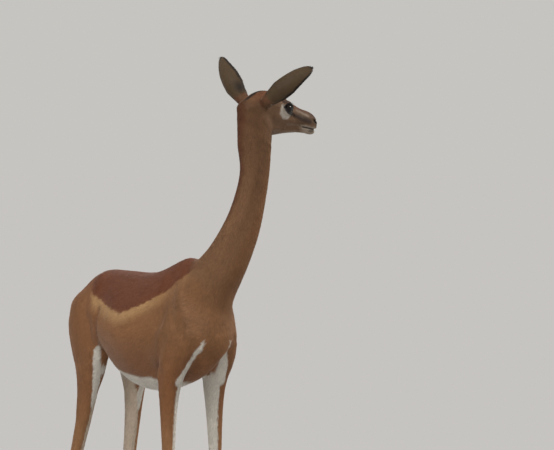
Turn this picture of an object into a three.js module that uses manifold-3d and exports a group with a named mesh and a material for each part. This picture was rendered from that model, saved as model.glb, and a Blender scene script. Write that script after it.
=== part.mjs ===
// A standing adult female gerenuk at life size, with her neck raised and her head turned to her left.
// Millimetres. +X is the way her body faces, +Y is her left and +Z is up. The group ends with the middle of
// its bounding box's underside at the origin, so that her hooves stand on z = 0.
import * as THREE from "three";
import { mergeVertices } from "three/addons/utils/BufferGeometryUtils.js";
import Module from "manifold-3d";

const wasm = await Module();
wasm.setup();
const { Manifold, Mesh } = wasm;

// Driving sizes
const GAP = 0.3; // clearance between neighbouring pieces
const RUMP_X = -376; // point of the buttock
const BREAST_X = 352; // point of the breast
const WITHERS = 972;
const CROUP = 930;
const GIRTH_Z = 610; // underside of the chest
const FOOT_HALF_TRACK = 76; // from the middle plane to each fore hoof
const HEAD_LENGTH = 219;
const EAR_LENGTH = 168;
const EYE_RADIUS = 18;
const TAIL_LENGTH = 245;
const CLAW_LENGTH = 60;

// How the head is held: where the back of the skull is, and which way the head points
const SKULL = new THREE.Vector3(385, 68, 1354);
const HEAD_HEADING = THREE.MathUtils.degToRad(98);
const HEAD_PITCH = THREE.MathUtils.degToRad(10); // nose below level
const NECK_TWIST = THREE.MathUtils.degToRad(68); // of the neck's top, the skull turns the rest

// Colours
const FAWN = 0x9a6b45;
const SADDLE = 0x6b4029;
const EAR_BACK = 0x7a5c42;
const DARK_HORN = 0x2b2420;
const EYE_BROWN = 0x1a0f0a;
const TAIL_BLACK = 0x2a1d16;

const vector = (x, y, z) => new THREE.Vector3(x, y, z);

// A closed geometry as a solid, with its faces turned out.
function solid(geometry) {
  const bare = new THREE.BufferGeometry();
  bare.setAttribute("position", geometry.getAttribute("position"));
  bare.setIndex(geometry.getIndex());
  const merged = mergeVertices(bare, 1e-3);
  const vertProperties = merged.getAttribute("position").array;
  const triVerts = new Uint32Array(merged.index.array);
  const made = new Manifold(new Mesh({ numProp: 3, vertProperties, triVerts }));
  if (made.volume() > 0) return made;
  return new Manifold(new Mesh({ numProp: 3, vertProperties, triVerts: triVerts.reverse() }));
}

// The largest closed surface of a solid, as a geometry.
function geometryOf(shape) {
  const [largest] = shape.decompose().sort((a, b) => b.volume() - a.volume());
  const mesh = largest.getMesh();
  const corners = new Float32Array(mesh.numVert * 3);
  for (let i = 0; i < mesh.numVert; i += 1) {
    corners.set(mesh.vertProperties.subarray(i * mesh.numProp, i * mesh.numProp + 3), i * 3);
  }
  const geometry = new THREE.BufferGeometry();
  geometry.setAttribute("position", new THREE.BufferAttribute(corners, 3));
  geometry.setIndex(new THREE.BufferAttribute(mesh.triVerts, 1));
  return geometry;
}

const joined = (shapes) => shapes.reduce((whole, shape) => whole.add(shape));

// A closed loft through named sections. point(sizes, across, up) gives a point of a section, where across and up
// are the sine and cosine of the angle round it, and both are 0 at the two ends.
function loft(sections, around, along, point) {
  const names = Object.keys(sections[0]);
  const samples = sections.flatMap((section) => names.map((name) => section[name]));
  const places = sections.map((section, index) => index);
  const between = new THREE.CubicInterpolant(places, samples, names.length);
  const geometry = new THREE.SphereGeometry(1, around, along);
  const position = geometry.getAttribute("position");
  for (let ring = 0; ring <= along; ring += 1) {
    const at = ((sections.length - 1) * ring) / along;
    const values = between.evaluate(at);
    const sizes = Object.fromEntries(names.map((name, i) => [name, values[i]]));
    const reach = ring === 0 || ring === along ? 0 : 1;
    for (let step = 0; step <= around; step += 1) {
      const angle = (2 * Math.PI * (step % around)) / around;
      const place = point(sizes, reach * Math.sin(angle), reach * Math.cos(angle));
      position.setXYZ(ring * (around + 1) + step, place.x, place.y, place.z);
    }
  }
  return geometry;
}

const ellipsoid = (centre, radii, around = 16, along = 10) =>
  new THREE.SphereGeometry(1, around, along).scale(...radii).translate(centre.x, centre.y, centre.z);

// The half space beyond a point, as a large box. `away` is the way that is kept.
function beyond(point, away, clearance = 0) {
  const size = 4000;
  const turn = new THREE.Quaternion().setFromUnitVectors(vector(0, 0, 1), away.clone().normalize());
  const place = point.clone().addScaledVector(away.clone().normalize(), size / 2 + clearance);
  const matrix = new THREE.Matrix4().compose(place, turn, vector(1, 1, 1));
  return solid(new THREE.BoxGeometry(size, size, size).applyMatrix4(matrix));
}

// Cuts a solid in two at a plane and leaves the clearance between them: [beyond the plane, short of it].
const parted = (shape, point, away) => [
  shape.intersect(beyond(point, away, GAP / 2)),
  shape.intersect(beyond(point, away.clone().negate(), GAP / 2)),
];

// Trunk, in upright sections from the rump to the breast
const TRUNK = [
  { x: RUMP_X, top: 838, wide: 818, bottom: 792, half: 22, keel: 0 },
  { x: RUMP_X + 10, top: 864, wide: 820, bottom: 762, half: 48, keel: 0 },
  { x: -340, top: 881, wide: 820, bottom: 740, half: 66, keel: 0 },
  { x: -300, top: 909, wide: 822, bottom: 726, half: 80, keel: 0.05 },
  { x: -250, top: CROUP - 4, wide: 824, bottom: 720, half: 88, keel: 0.1 },
  { x: -190, top: CROUP - 4, wide: 808, bottom: 696, half: 95, keel: 0.08 },
  { x: -120, top: 925, wide: 784, bottom: 644, half: 107, keel: 0.06 },
  { x: -50, top: 924, wide: 766, bottom: 618, half: 117, keel: 0.08 },
  { x: 20, top: 927, wide: 758, bottom: GIRTH_Z, half: 118, keel: 0.14 },
  { x: 90, top: 941, wide: 760, bottom: GIRTH_Z + 6, half: 110, keel: 0.24 },
  { x: 150, top: 960, wide: 764, bottom: GIRTH_Z + 18, half: 97, keel: 0.34 },
  { x: 205, top: WITHERS, wide: 772, bottom: 640, half: 83, keel: 0.42 },
  { x: 255, top: 958, wide: 778, bottom: 656, half: 73, keel: 0.46 },
  { x: 300, top: 912, wide: 776, bottom: 678, half: 62, keel: 0.44 },
  { x: 334, top: 850, wide: 766, bottom: 704, half: 45, keel: 0.36 },
  { x: BREAST_X, top: 796, wide: 758, bottom: 730, half: 21, keel: 0.2 },
];
const RIDGE = 0.16; // how far the section draws in towards the spine
const trunkPoint = ({ x, top, wide, bottom, half, keel }, across, up) =>
  vector(
    x,
    half * across * (1 - (up > 0 ? RIDGE * up : -keel * up)),
    wide + up * (up > 0 ? top - wide : wide - bottom),
  );

// Neck, in sections square to its own line, from inside the chest to inside the skull
const NECK = [
  { x: 196, y: 0, z: 770, dorsal: 92, ventral: 96, side: 58, twist: 0 },
  { x: 226, y: 0, z: 812, dorsal: 118, ventral: 108, side: 74, twist: 0 },
  { x: 282, y: 12, z: 890, dorsal: 92, ventral: 75, side: 64, twist: 0.1 },
  { x: 330, y: 35, z: 964, dorsal: 66, ventral: 61, side: 54, twist: 0.24 },
  { x: 360, y: 60, z: 1050, dorsal: 49, ventral: 51, side: 46, twist: 0.46 },
  { x: 379, y: 76, z: 1130, dorsal: 42, ventral: 42, side: 38, twist: 0.68 },
  { x: 388, y: 84, z: 1200, dorsal: 40, ventral: 40, side: 35, twist: 0.86 },
  { x: 388, y: 87, z: 1258, dorsal: 49, ventral: 41, side: 36, twist: 1 },
  { x: 386, y: 88, z: 1306, dorsal: 50, ventral: 42, side: 40, twist: 1.12 },
  { x: 384, y: 87, z: 1346, dorsal: 48, ventral: 34, side: 42, twist: 1.18 },
  { x: 383, y: 88, z: 1382, dorsal: 30, ventral: 20, side: 30, twist: 1.2 },
];
const NECK_LINE = new THREE.CatmullRomCurve3(NECK.map(({ x, y, z }) => vector(x, y, z)));
const neckSections = NECK.map((section, index) => ({ ...section, at: index / (NECK.length - 1) }));
function neckPoint({ x, y, z, dorsal, ventral, side, twist, at }, across, up) {
  const ahead = NECK_LINE.getTangent(THREE.MathUtils.clamp(at, 0, 1));
  const back = vector(-1, 0, 0).applyAxisAngle(vector(0, 0, 1), twist * NECK_TWIST);
  back.addScaledVector(ahead, -back.dot(ahead)).normalize();
  const left = new THREE.Vector3().crossVectors(ahead, back);
  return vector(x, y, z)
    .addScaledVector(back, up * (up > 0 ? dorsal : ventral))
    .addScaledVector(left, side * across);
}

// Head, in its own frame: x from the back of the skull to the nose, y to the left, z up
const HEAD = [
  { x: -27, top: 11, wide: 0, bottom: -16, half: 12, jaw: 10 },
  { x: -21, top: 24, wide: 3, bottom: -32, half: 27, jaw: 20 },
  { x: -2, top: 38, wide: 8, bottom: -48, half: 39, jaw: 28 },
  { x: 22, top: 53, wide: 13, bottom: -56, half: 44, jaw: 31 },
  { x: 46, top: 61, wide: 16, bottom: -58, half: 45, jaw: 32 },
  { x: 70, top: 62, wide: 18, bottom: -54, half: 44, jaw: 30 },
  { x: 94, top: 56, wide: 16, bottom: -47, half: 40, jaw: 26 },
  { x: 117, top: 47, wide: 10, bottom: -40, half: 33.5, jaw: 22 },
  { x: 141, top: 40, wide: 5, bottom: -34, half: 28, jaw: 19 },
  { x: 166, top: 33, wide: 1, bottom: -29, half: 24, jaw: 17 },
  { x: 189, top: 27, wide: -2, bottom: -27, half: 22, jaw: 15.5 },
  { x: 206, top: 20, wide: -4, bottom: -24, half: 19.5, jaw: 12.5 },
  { x: 215, top: 11, wide: -4, bottom: -18, half: 14.5, jaw: 8 },
  { x: HEAD_LENGTH, top: 3, wide: -4, bottom: -10, half: 7, jaw: 4 },
];
const headPoint = ({ x, top, wide, bottom, half, jaw }, across, up) =>
  vector(
    x,
    across * (up > 0 ? half : THREE.MathUtils.lerp(half, jaw, Math.abs(up))),
    wide + up * (up > 0 ? top - wide : wide - bottom),
  );
const headMatrix = new THREE.Matrix4().compose(
  SKULL,
  new THREE.Quaternion().setFromEuler(new THREE.Euler(0, HEAD_PITCH, HEAD_HEADING, "ZYX")),
  vector(1, 1, 1),
);
const inHead = (x, y, z) => vector(x, y, z).applyMatrix4(headMatrix);
const headWay = (x, y, z) => vector(x, y, z).transformDirection(headMatrix);
const placedInHead = (geometry) => solid(geometry.applyMatrix4(headMatrix));
const onBothSides = (make) => [1, -1].map((side) => placedInHead(make().scale(1, side, 1)));

// The face, in the head's frame and given for its left side
const EYE = { x: 95, y: 30.5, z: 22 };
const GAZE = { ahead: 14, up: 6 }; // degrees that the eye looks forward of straight out, and above level
const LID = 2.4; // thickness of the lids over the eye
const NOSTRIL = { x: 211, y: 12.5, z: 5 };
const MOUTH = { cornerX: 166, z: -12.5, height: 1.8, depth: 2.6 };

// Legs, in level sections from the top down. y is measured outwards from the middle plane.
const FORELEG = [
  { z: 905, x: 176, y: 48, fore: 14, aft: 14, out: 8, inner: 16 },
  { z: 868, x: 188, y: 50, fore: 42, aft: 36, out: 20, inner: 24 },
  { z: 805, x: 220, y: 55, fore: 66, aft: 58, out: 32, inner: 30 },
  { z: 745, x: 246, y: 61, fore: 66, aft: 74, out: 36, inner: 34 },
  { z: 692, x: 230, y: 66, fore: 58, aft: 70, out: 33, inner: 33 },
  { z: 645, x: 208, y: 69, fore: 41, aft: 54, out: 28, inner: 28 },
  { z: 598, x: 200, y: 71, fore: 31, aft: 35, out: 24.5, inner: 24 },
  { z: 535, x: 199, y: 73, fore: 26, aft: 25, out: 20.5, inner: 20 },
  { z: 455, x: 202, y: 75, fore: 21, aft: 19, out: 17, inner: 16 },
  { z: 385, x: 205, y: 76, fore: 18, aft: 17, out: 16, inner: 15.5 },
  { z: 338, x: 208, y: 76, fore: 22, aft: 19, out: 19.5, inner: 18.5 },
  { z: 300, x: 207, y: 76, fore: 19, aft: 20, out: 18, inner: 17.5 },
  { z: 262, x: 205, y: 76, fore: 13.5, aft: 16, out: 13.5, inner: 13.5 },
  { z: 190, x: 204, y: 76, fore: 11.5, aft: 13.5, out: 11.5, inner: 11.5 },
  { z: 122, x: 205, y: 76, fore: 12, aft: 13.5, out: 11.5, inner: 11.5 },
  { z: 88, x: 207, y: 76, fore: 16, aft: 18, out: 15.5, inner: 15.5 },
  { z: 62, x: 216, y: 76, fore: 13, aft: 13.5, out: 14, inner: 14 },
  { z: 38, x: 227, y: 76, fore: 17, aft: 16, out: 18, inner: 18 },
  { z: 18, x: 231, y: 76, fore: 12, aft: 12, out: 13, inner: 13 },
];
const HINDLEG = [
  { z: 888, x: -250, y: 50, fore: 28, aft: 30, out: 11, inner: 20 },
  { z: 858, x: -260, y: 53, fore: 62, aft: 70, out: 27, inner: 26 },
  { z: 812, x: -266, y: 56, fore: 84, aft: 98, out: 41, inner: 30 },
  { z: 760, x: -262, y: 57, fore: 88, aft: 106, out: 44, inner: 32 },
  { z: 705, x: -258, y: 57, fore: 78, aft: 92, out: 40, inner: 32 },
  { z: 655, x: -262, y: 58, fore: 66, aft: 62, out: 34, inner: 29 },
  { z: 600, x: -274, y: 61, fore: 45, aft: 40, out: 25, inner: 21 },
  { z: 530, x: -292, y: 63, fore: 32, aft: 33, out: 19.5, inner: 18 },
  { z: 455, x: -318, y: 66, fore: 23, aft: 31, out: 16, inner: 15 },
  { z: 398, x: -338, y: 68, fore: 20, aft: 30, out: 15.5, inner: 15 },
  { z: 352, x: -344, y: 69, fore: 24, aft: 28, out: 18, inner: 17.5 },
  { z: 308, x: -341, y: 70, fore: 19, aft: 22, out: 16, inner: 15.5 },
  { z: 262, x: -338, y: 70, fore: 14, aft: 16.5, out: 13, inner: 13 },
  { z: 190, x: -334, y: 71, fore: 12, aft: 14, out: 11.5, inner: 11.5 },
  { z: 122, x: -330, y: 71, fore: 12, aft: 13.5, out: 11.5, inner: 11.5 },
  { z: 88, x: -327, y: 71, fore: 16, aft: 18, out: 15.5, inner: 15.5 },
  { z: 62, x: -317, y: 71, fore: 13, aft: 13.5, out: 14, inner: 14 },
  { z: 38, x: -306, y: 71, fore: 17, aft: 16, out: 18, inner: 18 },
  { z: 18, x: -302, y: 71, fore: 12, aft: 12, out: 13, inner: 13 },
];
const CLAW = [
  { x: -28, top: 10, wide: 4, bottom: -3, half: 4, keel: 0 },
  { x: -24, top: 26, wide: 8, bottom: -5, half: 9, keel: 0 },
  { x: -10, top: 42, wide: 9, bottom: -6, half: 11.5, keel: 0 },
  { x: 4, top: 40, wide: 8, bottom: -6, half: 11, keel: 0 },
  { x: 18, top: 23, wide: 5, bottom: -5, half: 8, keel: 0 },
  { x: 28, top: 10, wide: 3, bottom: -4, half: 4.5, keel: 0 },
  { x: CLAW_LENGTH - 28, top: 3, wide: 1, bottom: -2, half: 1.5, keel: 0 },
];

// Each leg: its sections, which side it is on, how far its hoof steps forward, where it is cut from the trunk and
// where its upper and lower halves part.
const LEGS = [
  { name: "foreleg_left", sections: FORELEG, side: 1, stride: -34, pivotZ: 820, partZ: 362 },
  { name: "foreleg_right", sections: FORELEG, side: -1, stride: 14, pivotZ: 820, partZ: 362 },
  { name: "hindleg_left", sections: HINDLEG, side: 1, stride: 104, pivotZ: 840, partZ: 384 },
  { name: "hindleg_right", sections: HINDLEG, side: -1, stride: 2, pivotZ: 840, partZ: 384 },
];
const strideAt = ({ stride, pivotZ }, z) => stride * Math.max(0, (pivotZ - z) / pivotZ);

function legSolid(leg) {
  const point = ({ z, x, y, fore, aft, out, inner }, across, up) =>
    vector(
      x + strideAt(leg, z) + up * (up > 0 ? fore : aft),
      leg.side * (y + across * (across > 0 ? out : inner)),
      z,
    );
  return solid(loft(leg.sections, 14, 30, point));
}

// The outlines, seen from the side, within which the legs part from the trunk, and the plane they part at: its
// distance from the middle plane at the height of the girth, and how far it leans outwards for each millimetre up.
const SHOULDER_CUT = {
  outline: [[124, 640], [136, 700], [148, 760], [150, 820], [154, 872], [176, 904], [206, 892], [240, 848],
    [276, 800], [306, 752], [312, 706], [296, 660], [276, 620], [330, 560], [330, -20], [60, -20], [60, 560]],
  inside: 32,
  lean: 0.15,
};
const HAUNCH_CUT = {
  outline: [[-196, 706], [-176, 760], [-186, 830], [-222, 892], [-280, 908], [-340, 890], [-400, 850],
    [-430, 760], [-420, 640], [-520, 560], [-600, -20], [-100, -20], [-130, 560], [-206, 650]],
  inside: 24,
  lean: 0.17,
};
function legCutter({ outline, inside, lean }, side, grow) {
  const points = outline.map(([x, z]) => new THREE.Vector2(x, z));
  const middle = points.reduce((sum, p) => sum.add(p), new THREE.Vector2()).divideScalar(points.length);
  const spread = points.map((p) => p.clone().sub(middle).multiplyScalar(1 + grow / 60).add(middle));
  const geometry = new THREE.ExtrudeGeometry(new THREE.Shape(spread), { depth: 400, bevelEnabled: false });
  const place = new THREE.Matrix4().set(
    1, 0, 0, 0,
    0, side * lean, side, side * (inside - grow - lean * GIRTH_Z),
    0, 1, 0, 0,
    0, 0, 0, 1,
  );
  return solid(geometry.applyMatrix4(place));
}
const cutOf = (leg) => (leg.sections === FORELEG ? SHOULDER_CUT : HAUNCH_CUT);

// Hooves: two claws to each foot, cut flat on the ground and along the coronet
const CORONET = { z: 31, slope: 0.22 };
function footOf(leg) {
  const last = leg.sections.at(-1);
  return vector(last.x + strideAt(leg, last.z), leg.side * last.y, 0);
}
function coronetPlane(leg) {
  const foot = footOf(leg);
  return [vector(foot.x, foot.y, CORONET.z), vector(-CORONET.slope, 0, 1)];
}
function clawSolid(leg, outer) {
  const foot = footOf(leg);
  const apart = 11.9;
  const geometry = loft(CLAW, 8, 10, trunkPoint)
    .rotateZ(THREE.MathUtils.degToRad(outer * leg.side * 3))
    .translate(foot.x + 2, foot.y + leg.side * outer * apart, 0);
  const [, below] = parted(solid(geometry), ...coronetPlane(leg));
  const middle = vector(foot.x, foot.y + leg.side * outer * GAP, 0);
  return below
    .intersect(beyond(vector(0, 0, 0), vector(0, 0, 1)))
    .intersect(beyond(middle, vector(0, leg.side * outer, 0)));
}
function dewclaws(leg) {
  const z = 80;
  const fetlock = leg.sections.at(-4);
  return [-1, 1].map((way) =>
    solid(ellipsoid(vector(fetlock.x + strideAt(leg, z) - 17, leg.side * fetlock.y + way * 9, z), [6, 5, 9], 8, 6)));
}

// Tail: a thin core with a tuft of flat, tapered locks
const TAIL = [
  { x: -352, z: 884, across: 17, deep: 13 },
  { x: -374, z: 872, across: 15, deep: 11 },
  { x: -393, z: 842, across: 12, deep: 9 },
  { x: -404, z: 800, across: 10.5, deep: 8 },
  { x: -408, z: 755, across: 9.5, deep: 7 },
  { x: -408, z: 715, across: 8.5, deep: 6 },
  { x: -406, z: 884 - TAIL_LENGTH + 50, across: 6, deep: 4 },
  { x: -405, z: 884 - TAIL_LENGTH + 40, across: 2, deep: 2 },
];
const tailPoint = ({ x, z, across: wide, deep }, across, up) => vector(x - up * deep, across * wide, z);
const TUFT = { locks: 11, length: 80, width: 13, thick: 2.6, topZ: 748, bottomZ: 692 };
function tailLock(index) {
  const turn = index * 2.4; // the golden angle, so that the locks spread evenly round the tail
  const share = index / (TUFT.locks - 1);
  const rootZ = THREE.MathUtils.lerp(TUFT.topZ, TUFT.bottomZ, share);
  const length = TUFT.length * (1 - 0.2 * share);
  const sections = [0, 0.3, 0.65, 1].map((s) => ({
    s,
    half: (TUFT.width / 2) * (1 - s) ** 0.7 + 0.4,
    thick: (TUFT.thick / 2) * (1 - s * 0.6) + 0.2,
  }));
  const point = ({ s, half, thick }, across, up) => {
    const out = 3 + 7 * Math.sin(Math.PI * Math.min(1, s * 0.8));
    const place = vector(out + up * thick, across * half, rootZ - s * length);
    return place.applyAxisAngle(vector(0, 0, 1), turn).add(vector(-407, 0, 0));
  };
  return solid(loft(sections, 5, 4, point));
}

// Ears: a leaf-shaped cup, rolled into a tube at its root. s runs from the root to the tip.
const EAR = [
  { s: 0, radius: 15, spread: 2.7, thick: 3.4 },
  { s: 0.08, radius: 17, spread: 2.5, thick: 3.4 },
  { s: 0.2, radius: 23, spread: 1.98, thick: 3.2 },
  { s: 0.35, radius: 29, spread: 1.5, thick: 3 },
  { s: 0.52, radius: 32, spread: 1.25, thick: 2.8 },
  { s: 0.7, radius: 32, spread: 1.06, thick: 2.6 },
  { s: 0.85, radius: 28, spread: 0.8, thick: 2.4 },
  { s: 0.95, radius: 24, spread: 0.56, thick: 2.1 },
  { s: 1, radius: 18, spread: 0.3, thick: 1.8 },
];
const EARS = [
  { name: "ear_left", side: 1, forward: 2, out: 108, up: 117 },
  { name: "ear_right", side: -1, forward: 79, out: 103, up: 88 },
];
const EAR_ROOT = { x: 12, y: 45, z: 25 };
const EAR_STUMP = 16; // the length of the ear's root that stays on the head
const heading = (forward, left, up) => vector(forward, left, up).applyAxisAngle(vector(0, 0, 1), HEAD_HEADING);
function earFrame(ear) {
  const root = inHead(EAR_ROOT.x, ear.side * EAR_ROOT.y, EAR_ROOT.z);
  const axis = heading(ear.forward, ear.side * ear.out, ear.up).normalize();
  const open = heading(1, ear.side * 0.1, 0);
  open.addScaledVector(axis, -open.dot(axis)).normalize();
  const across = new THREE.Vector3().crossVectors(axis, open);
  return { root, axis, open, across };
}
function earSolid(ear) {
  const { root, axis, open, across: sideways } = earFrame(ear);
    const point = ({ s, radius, spread, thick }, across, up) => {
    const angle = Math.atan2(across, up);
    const turned = (angle + 2 * Math.PI) % (2 * Math.PI);
    const outside = turned < Math.PI;
    const share = outside ? 1 - (2 * turned) / Math.PI : -1 + (2 * (turned - Math.PI)) / Math.PI;
    const rim = 1 - 0.55 * Math.abs(share) ** 6;
    const r = outside ? radius : radius - thick * rim;
    const reach = across === 0 && up === 0 ? 0 : 1;
    const lean = share * spread;
    const x = reach * r * Math.sin(lean);
    const y = reach * (radius - r * Math.cos(lean)) + (1 - reach) * (thick / 2);
    const bend = 16 * Math.sin(Math.PI * s) - 12 * s; // the tip nods forward
    return root.clone()
      .addScaledVector(axis, s * EAR_LENGTH - 6)
      .addScaledVector(sideways, x)
      .addScaledVector(open, y - bend - radius * 0.55);
  };
  return solid(loft(EAR, 18, 14, point));
}
function earBox(ear, clearance) {
  const { root, axis, open, across } = earFrame(ear);
  const size = EAR_LENGTH + 60;
  const geometry = new THREE.BoxGeometry(88, 80, size)
    .translate(0, -8, EAR_STUMP + size / 2 + clearance)
    .applyMatrix4(new THREE.Matrix4().makeBasis(across, open, axis).setPosition(root));
  return solid(geometry);
}

// The eye's opening between the lids: an almond, cut straight out along the way the eye looks
function eyeWindow() {
  const almond = new THREE.Shape();
  almond.moveTo(-16.5, -1);
  almond.bezierCurveTo(-11, 14, 8, 15, 17, -2);
  almond.bezierCurveTo(9, -13, -9, -14, -16.5, -1);
  const geometry = new THREE.ExtrudeGeometry(almond, { depth: 40, bevelEnabled: false, curveSegments: 7 });
  return geometry
    .rotateX(-THREE.MathUtils.degToRad(GAZE.up))
    .applyMatrix4(new THREE.Matrix4().makeBasis(vector(1, 0, 0), vector(0, 0, 1), vector(0, 1, 0)))
    .rotateZ(-THREE.MathUtils.degToRad(GAZE.ahead))
    .translate(EYE.x, EYE.y, EYE.z);
}

const eyeBall = (radius) => ellipsoid(vector(EYE.x, EYE.y, EYE.z), [radius, radius, radius], 16, 10);

function headSolid() {
  const skull = placedInHead(loft(HEAD, 26, 30, headPoint));
  const chin = placedInHead(ellipsoid(vector(197, 0, -20), [17, 11.5, 8], 12, 8));
  return joined([
    skull,
    chin,
    ...onBothSides(() => eyeBall(EYE_RADIUS + LID)),
    ...onBothSides(() => ellipsoid(vector(EYE.x - 5, EYE.y - 5, EYE.z + 8), [29, 19, 17], 12, 8)), // brow
    ...onBothSides(() => ellipsoid(vector(198, 9, -6), [20, 12, 9], 12, 8)), // upper lip
  ]);
}

function faceHollows() {
  const nostril = () => new THREE.SphereGeometry(1, 8, 6)
    .scale(6.5, 3, 3.4)
    .rotateZ(-0.9)
    .rotateY(-0.5)
    .translate(NOSTRIL.x, NOSTRIL.y, NOSTRIL.z);
  const line = new THREE.Shape();
  line.moveTo(MOUTH.cornerX, MOUTH.z - 1);
  line.quadraticCurveTo(200, MOUTH.z + 2.5, 240, MOUTH.z);
  line.lineTo(240, MOUTH.z - MOUTH.height);
  line.quadraticCurveTo(200, MOUTH.z + 0.8, MOUTH.cornerX, MOUTH.z - 1);
  const slit = new THREE.ExtrudeGeometry(line, { depth: 60, bevelEnabled: false, curveSegments: 5 })
    .rotateX(Math.PI / 2)
    .translate(0, 30, 0);
  const core = HEAD.map((section) => ({
    ...section,
    x: section.x - MOUTH.depth - 1,
    half: Math.max(1, section.half - MOUTH.depth),
    jaw: Math.max(1, section.jaw - MOUTH.depth),
  }));
  const groove = placedInHead(slit).subtract(placedInHead(loft(core, 16, 24, headPoint)));
  return joined([
    groove,
    ...onBothSides(() => eyeBall(EYE_RADIUS + GAP)),
    ...onBothSides(eyeWindow),
    ...onBothSides(nostril),
  ]);
}

// The whole flesh, before it is parted
const trunk = solid(loft(TRUNK, 28, 30, trunkPoint));
const neck = solid(loft(neckSections, 20, 26, neckPoint));
const tail = joined([
  solid(loft(TAIL, 8, 14, tailPoint)),
  ...Array.from({ length: TUFT.locks }, (_, index) => tailLock(index)),
]);
const ears = EARS.map(earSolid);
const legs = LEGS.map(legSolid);
const whole = joined([trunk, neck, headSolid(), ...ears, ...legs, tail]).subtract(faceHollows());

const HEAD_CUT = { point: inHead(8, 0, -46), away: headWay(0.42, 0, 0.908) };
const NECK_CUT = { point: vector(284, 0, 882), away: vector(0.833, 0, 0.554) };
const TAIL_CUT = { point: vector(-378, 0, 866), away: vector(-0.72, 0, -0.69) };

const group = new THREE.Group();
group.name = "gerenuk";
function add(name, shape, colour, roughness = 0.85) {
  const material = new THREE.MeshStandardMaterial({ color: colour, roughness, metalness: 0 });
  const mesh = new THREE.Mesh(geometryOf(shape), material);
  mesh.name = name;
  group.add(mesh);
}

function build() {
  const [front, trunkAndLegs] = parted(whole, NECK_CUT.point, NECK_CUT.away);
  const [headAndEars, neckPart] = parted(front, HEAD_CUT.point, HEAD_CUT.away);
  const earBoxes = EARS.map((ear) => earBox(ear, 0));
  add("head", headAndEars.subtract(joined(earBoxes)), FAWN);
  EARS.forEach((ear) => add(ear.name, headAndEars.intersect(earBox(ear, GAP)), EAR_BACK));
  const [eyeLeft, eyeRight] = onBothSides(() => eyeBall(EYE_RADIUS));
  add("eye_left", eyeLeft, EYE_BROWN, 0.08);
  add("eye_right", eyeRight, EYE_BROWN, 0.08);
  add("neck", neckPart, FAWN);

  const tailBox = beyond(TAIL_CUT.point, TAIL_CUT.away);
  const tailSlab = solid(new THREE.BoxGeometry(120, 60, 400).translate(-410, 0, 700));
  const tailPart = tail.subtract(trunk).intersect(tailBox).intersect(tailSlab);
  add("tail", tailPart, TAIL_BLACK);

  let body = trunkAndLegs;
  LEGS.forEach((leg) => {
    body = body.subtract(legCutter(cutOf(leg), leg.side, GAP));
  });
  add("torso", body.subtract(tailSlab.intersect(beyond(TAIL_CUT.point, TAIL_CUT.away, -GAP)).subtract(trunk)), SADDLE);

  LEGS.forEach((leg) => {
    const limb = trunkAndLegs.intersect(legCutter(cutOf(leg), leg.side, 0)).add(joined(dewclaws(leg)));
    const [standing] = parted(limb, ...coronetPlane(leg));
    const [upper, lower] = parted(standing, vector(0, 0, leg.partZ), vector(0, 0, 1));
    add(`${leg.name}_upper`, upper, FAWN);
    add(`${leg.name}_lower`, lower, FAWN);
    add(`${leg.name}_claw_outer`, clawSolid(leg, 1), DARK_HORN, 0.5);
    add(`${leg.name}_claw_inner`, clawSolid(leg, -1), DARK_HORN, 0.5);
  });
}
build();

const box = new THREE.Box3().setFromObject(group, true);
const middle = box.getCenter(new THREE.Vector3());
group.children.forEach((mesh) => mesh.geometry.translate(-middle.x, -middle.y, -box.min.z));

export default group;
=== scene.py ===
"""A standing adult female gerenuk at life size: one skin over her solids, a short coat, eyes and hooves.

Metres, in the frame of the solids: +X is the way her body faces, +Y is her left and the floor is z = 0.
"""

import math
from collections import namedtuple

import bmesh
import bpy
import numpy as np
from bpy.props import FloatProperty, FloatVectorProperty, IntProperty, PointerProperty
from bpy.types import Operator, Panel, PropertyGroup
from mathutils import Euler, Matrix, Vector
from mathutils.bvhtree import BVHTree


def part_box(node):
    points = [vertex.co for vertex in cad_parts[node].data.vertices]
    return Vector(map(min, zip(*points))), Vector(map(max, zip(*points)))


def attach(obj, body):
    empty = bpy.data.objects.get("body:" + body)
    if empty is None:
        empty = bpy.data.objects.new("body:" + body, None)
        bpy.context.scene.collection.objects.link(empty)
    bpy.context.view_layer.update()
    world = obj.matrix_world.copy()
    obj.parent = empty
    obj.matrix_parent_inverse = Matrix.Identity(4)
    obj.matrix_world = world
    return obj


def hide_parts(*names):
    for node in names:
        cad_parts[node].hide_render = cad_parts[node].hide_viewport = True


bl_info = {
    "name": "Gerenuk",
    "version": (1, 0, 0),
    "blender": (4, 5, 0),
    "location": "3D View > Sidebar > Gerenuk",
    "description": "Dresses the solids of a standing gerenuk with skin, coat, eyes and hooves",
    "category": "Object",
}

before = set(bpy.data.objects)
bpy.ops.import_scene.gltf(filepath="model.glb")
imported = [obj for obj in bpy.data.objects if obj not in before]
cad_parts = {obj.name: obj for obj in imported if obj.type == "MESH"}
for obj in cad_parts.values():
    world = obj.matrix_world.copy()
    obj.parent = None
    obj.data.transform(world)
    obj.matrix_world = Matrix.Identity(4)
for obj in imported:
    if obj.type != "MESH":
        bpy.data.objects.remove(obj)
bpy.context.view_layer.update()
MM = 0.001
DOWN = np.array([0.0, 0.0, -1.0])

# Nodes of flesh, which the skin replaces
LEGS = ("foreleg_left", "foreleg_right", "hindleg_left", "hindleg_right")
FLESH = ["torso", "neck", "head", "ear_left", "ear_right", "tail"]
FLESH += [f"{leg}_{half}" for leg in LEGS for half in ("upper", "lower")]

# The trunk's own measures: how far ahead of the rump, how far left of the middle plane, and how high
TORSO_LOW, TORSO_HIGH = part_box("torso")
RUMP_X = TORSO_LOW.x
MIDDLE_Y = (TORSO_LOW.y + TORSO_HIGH.y) / 2

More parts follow.
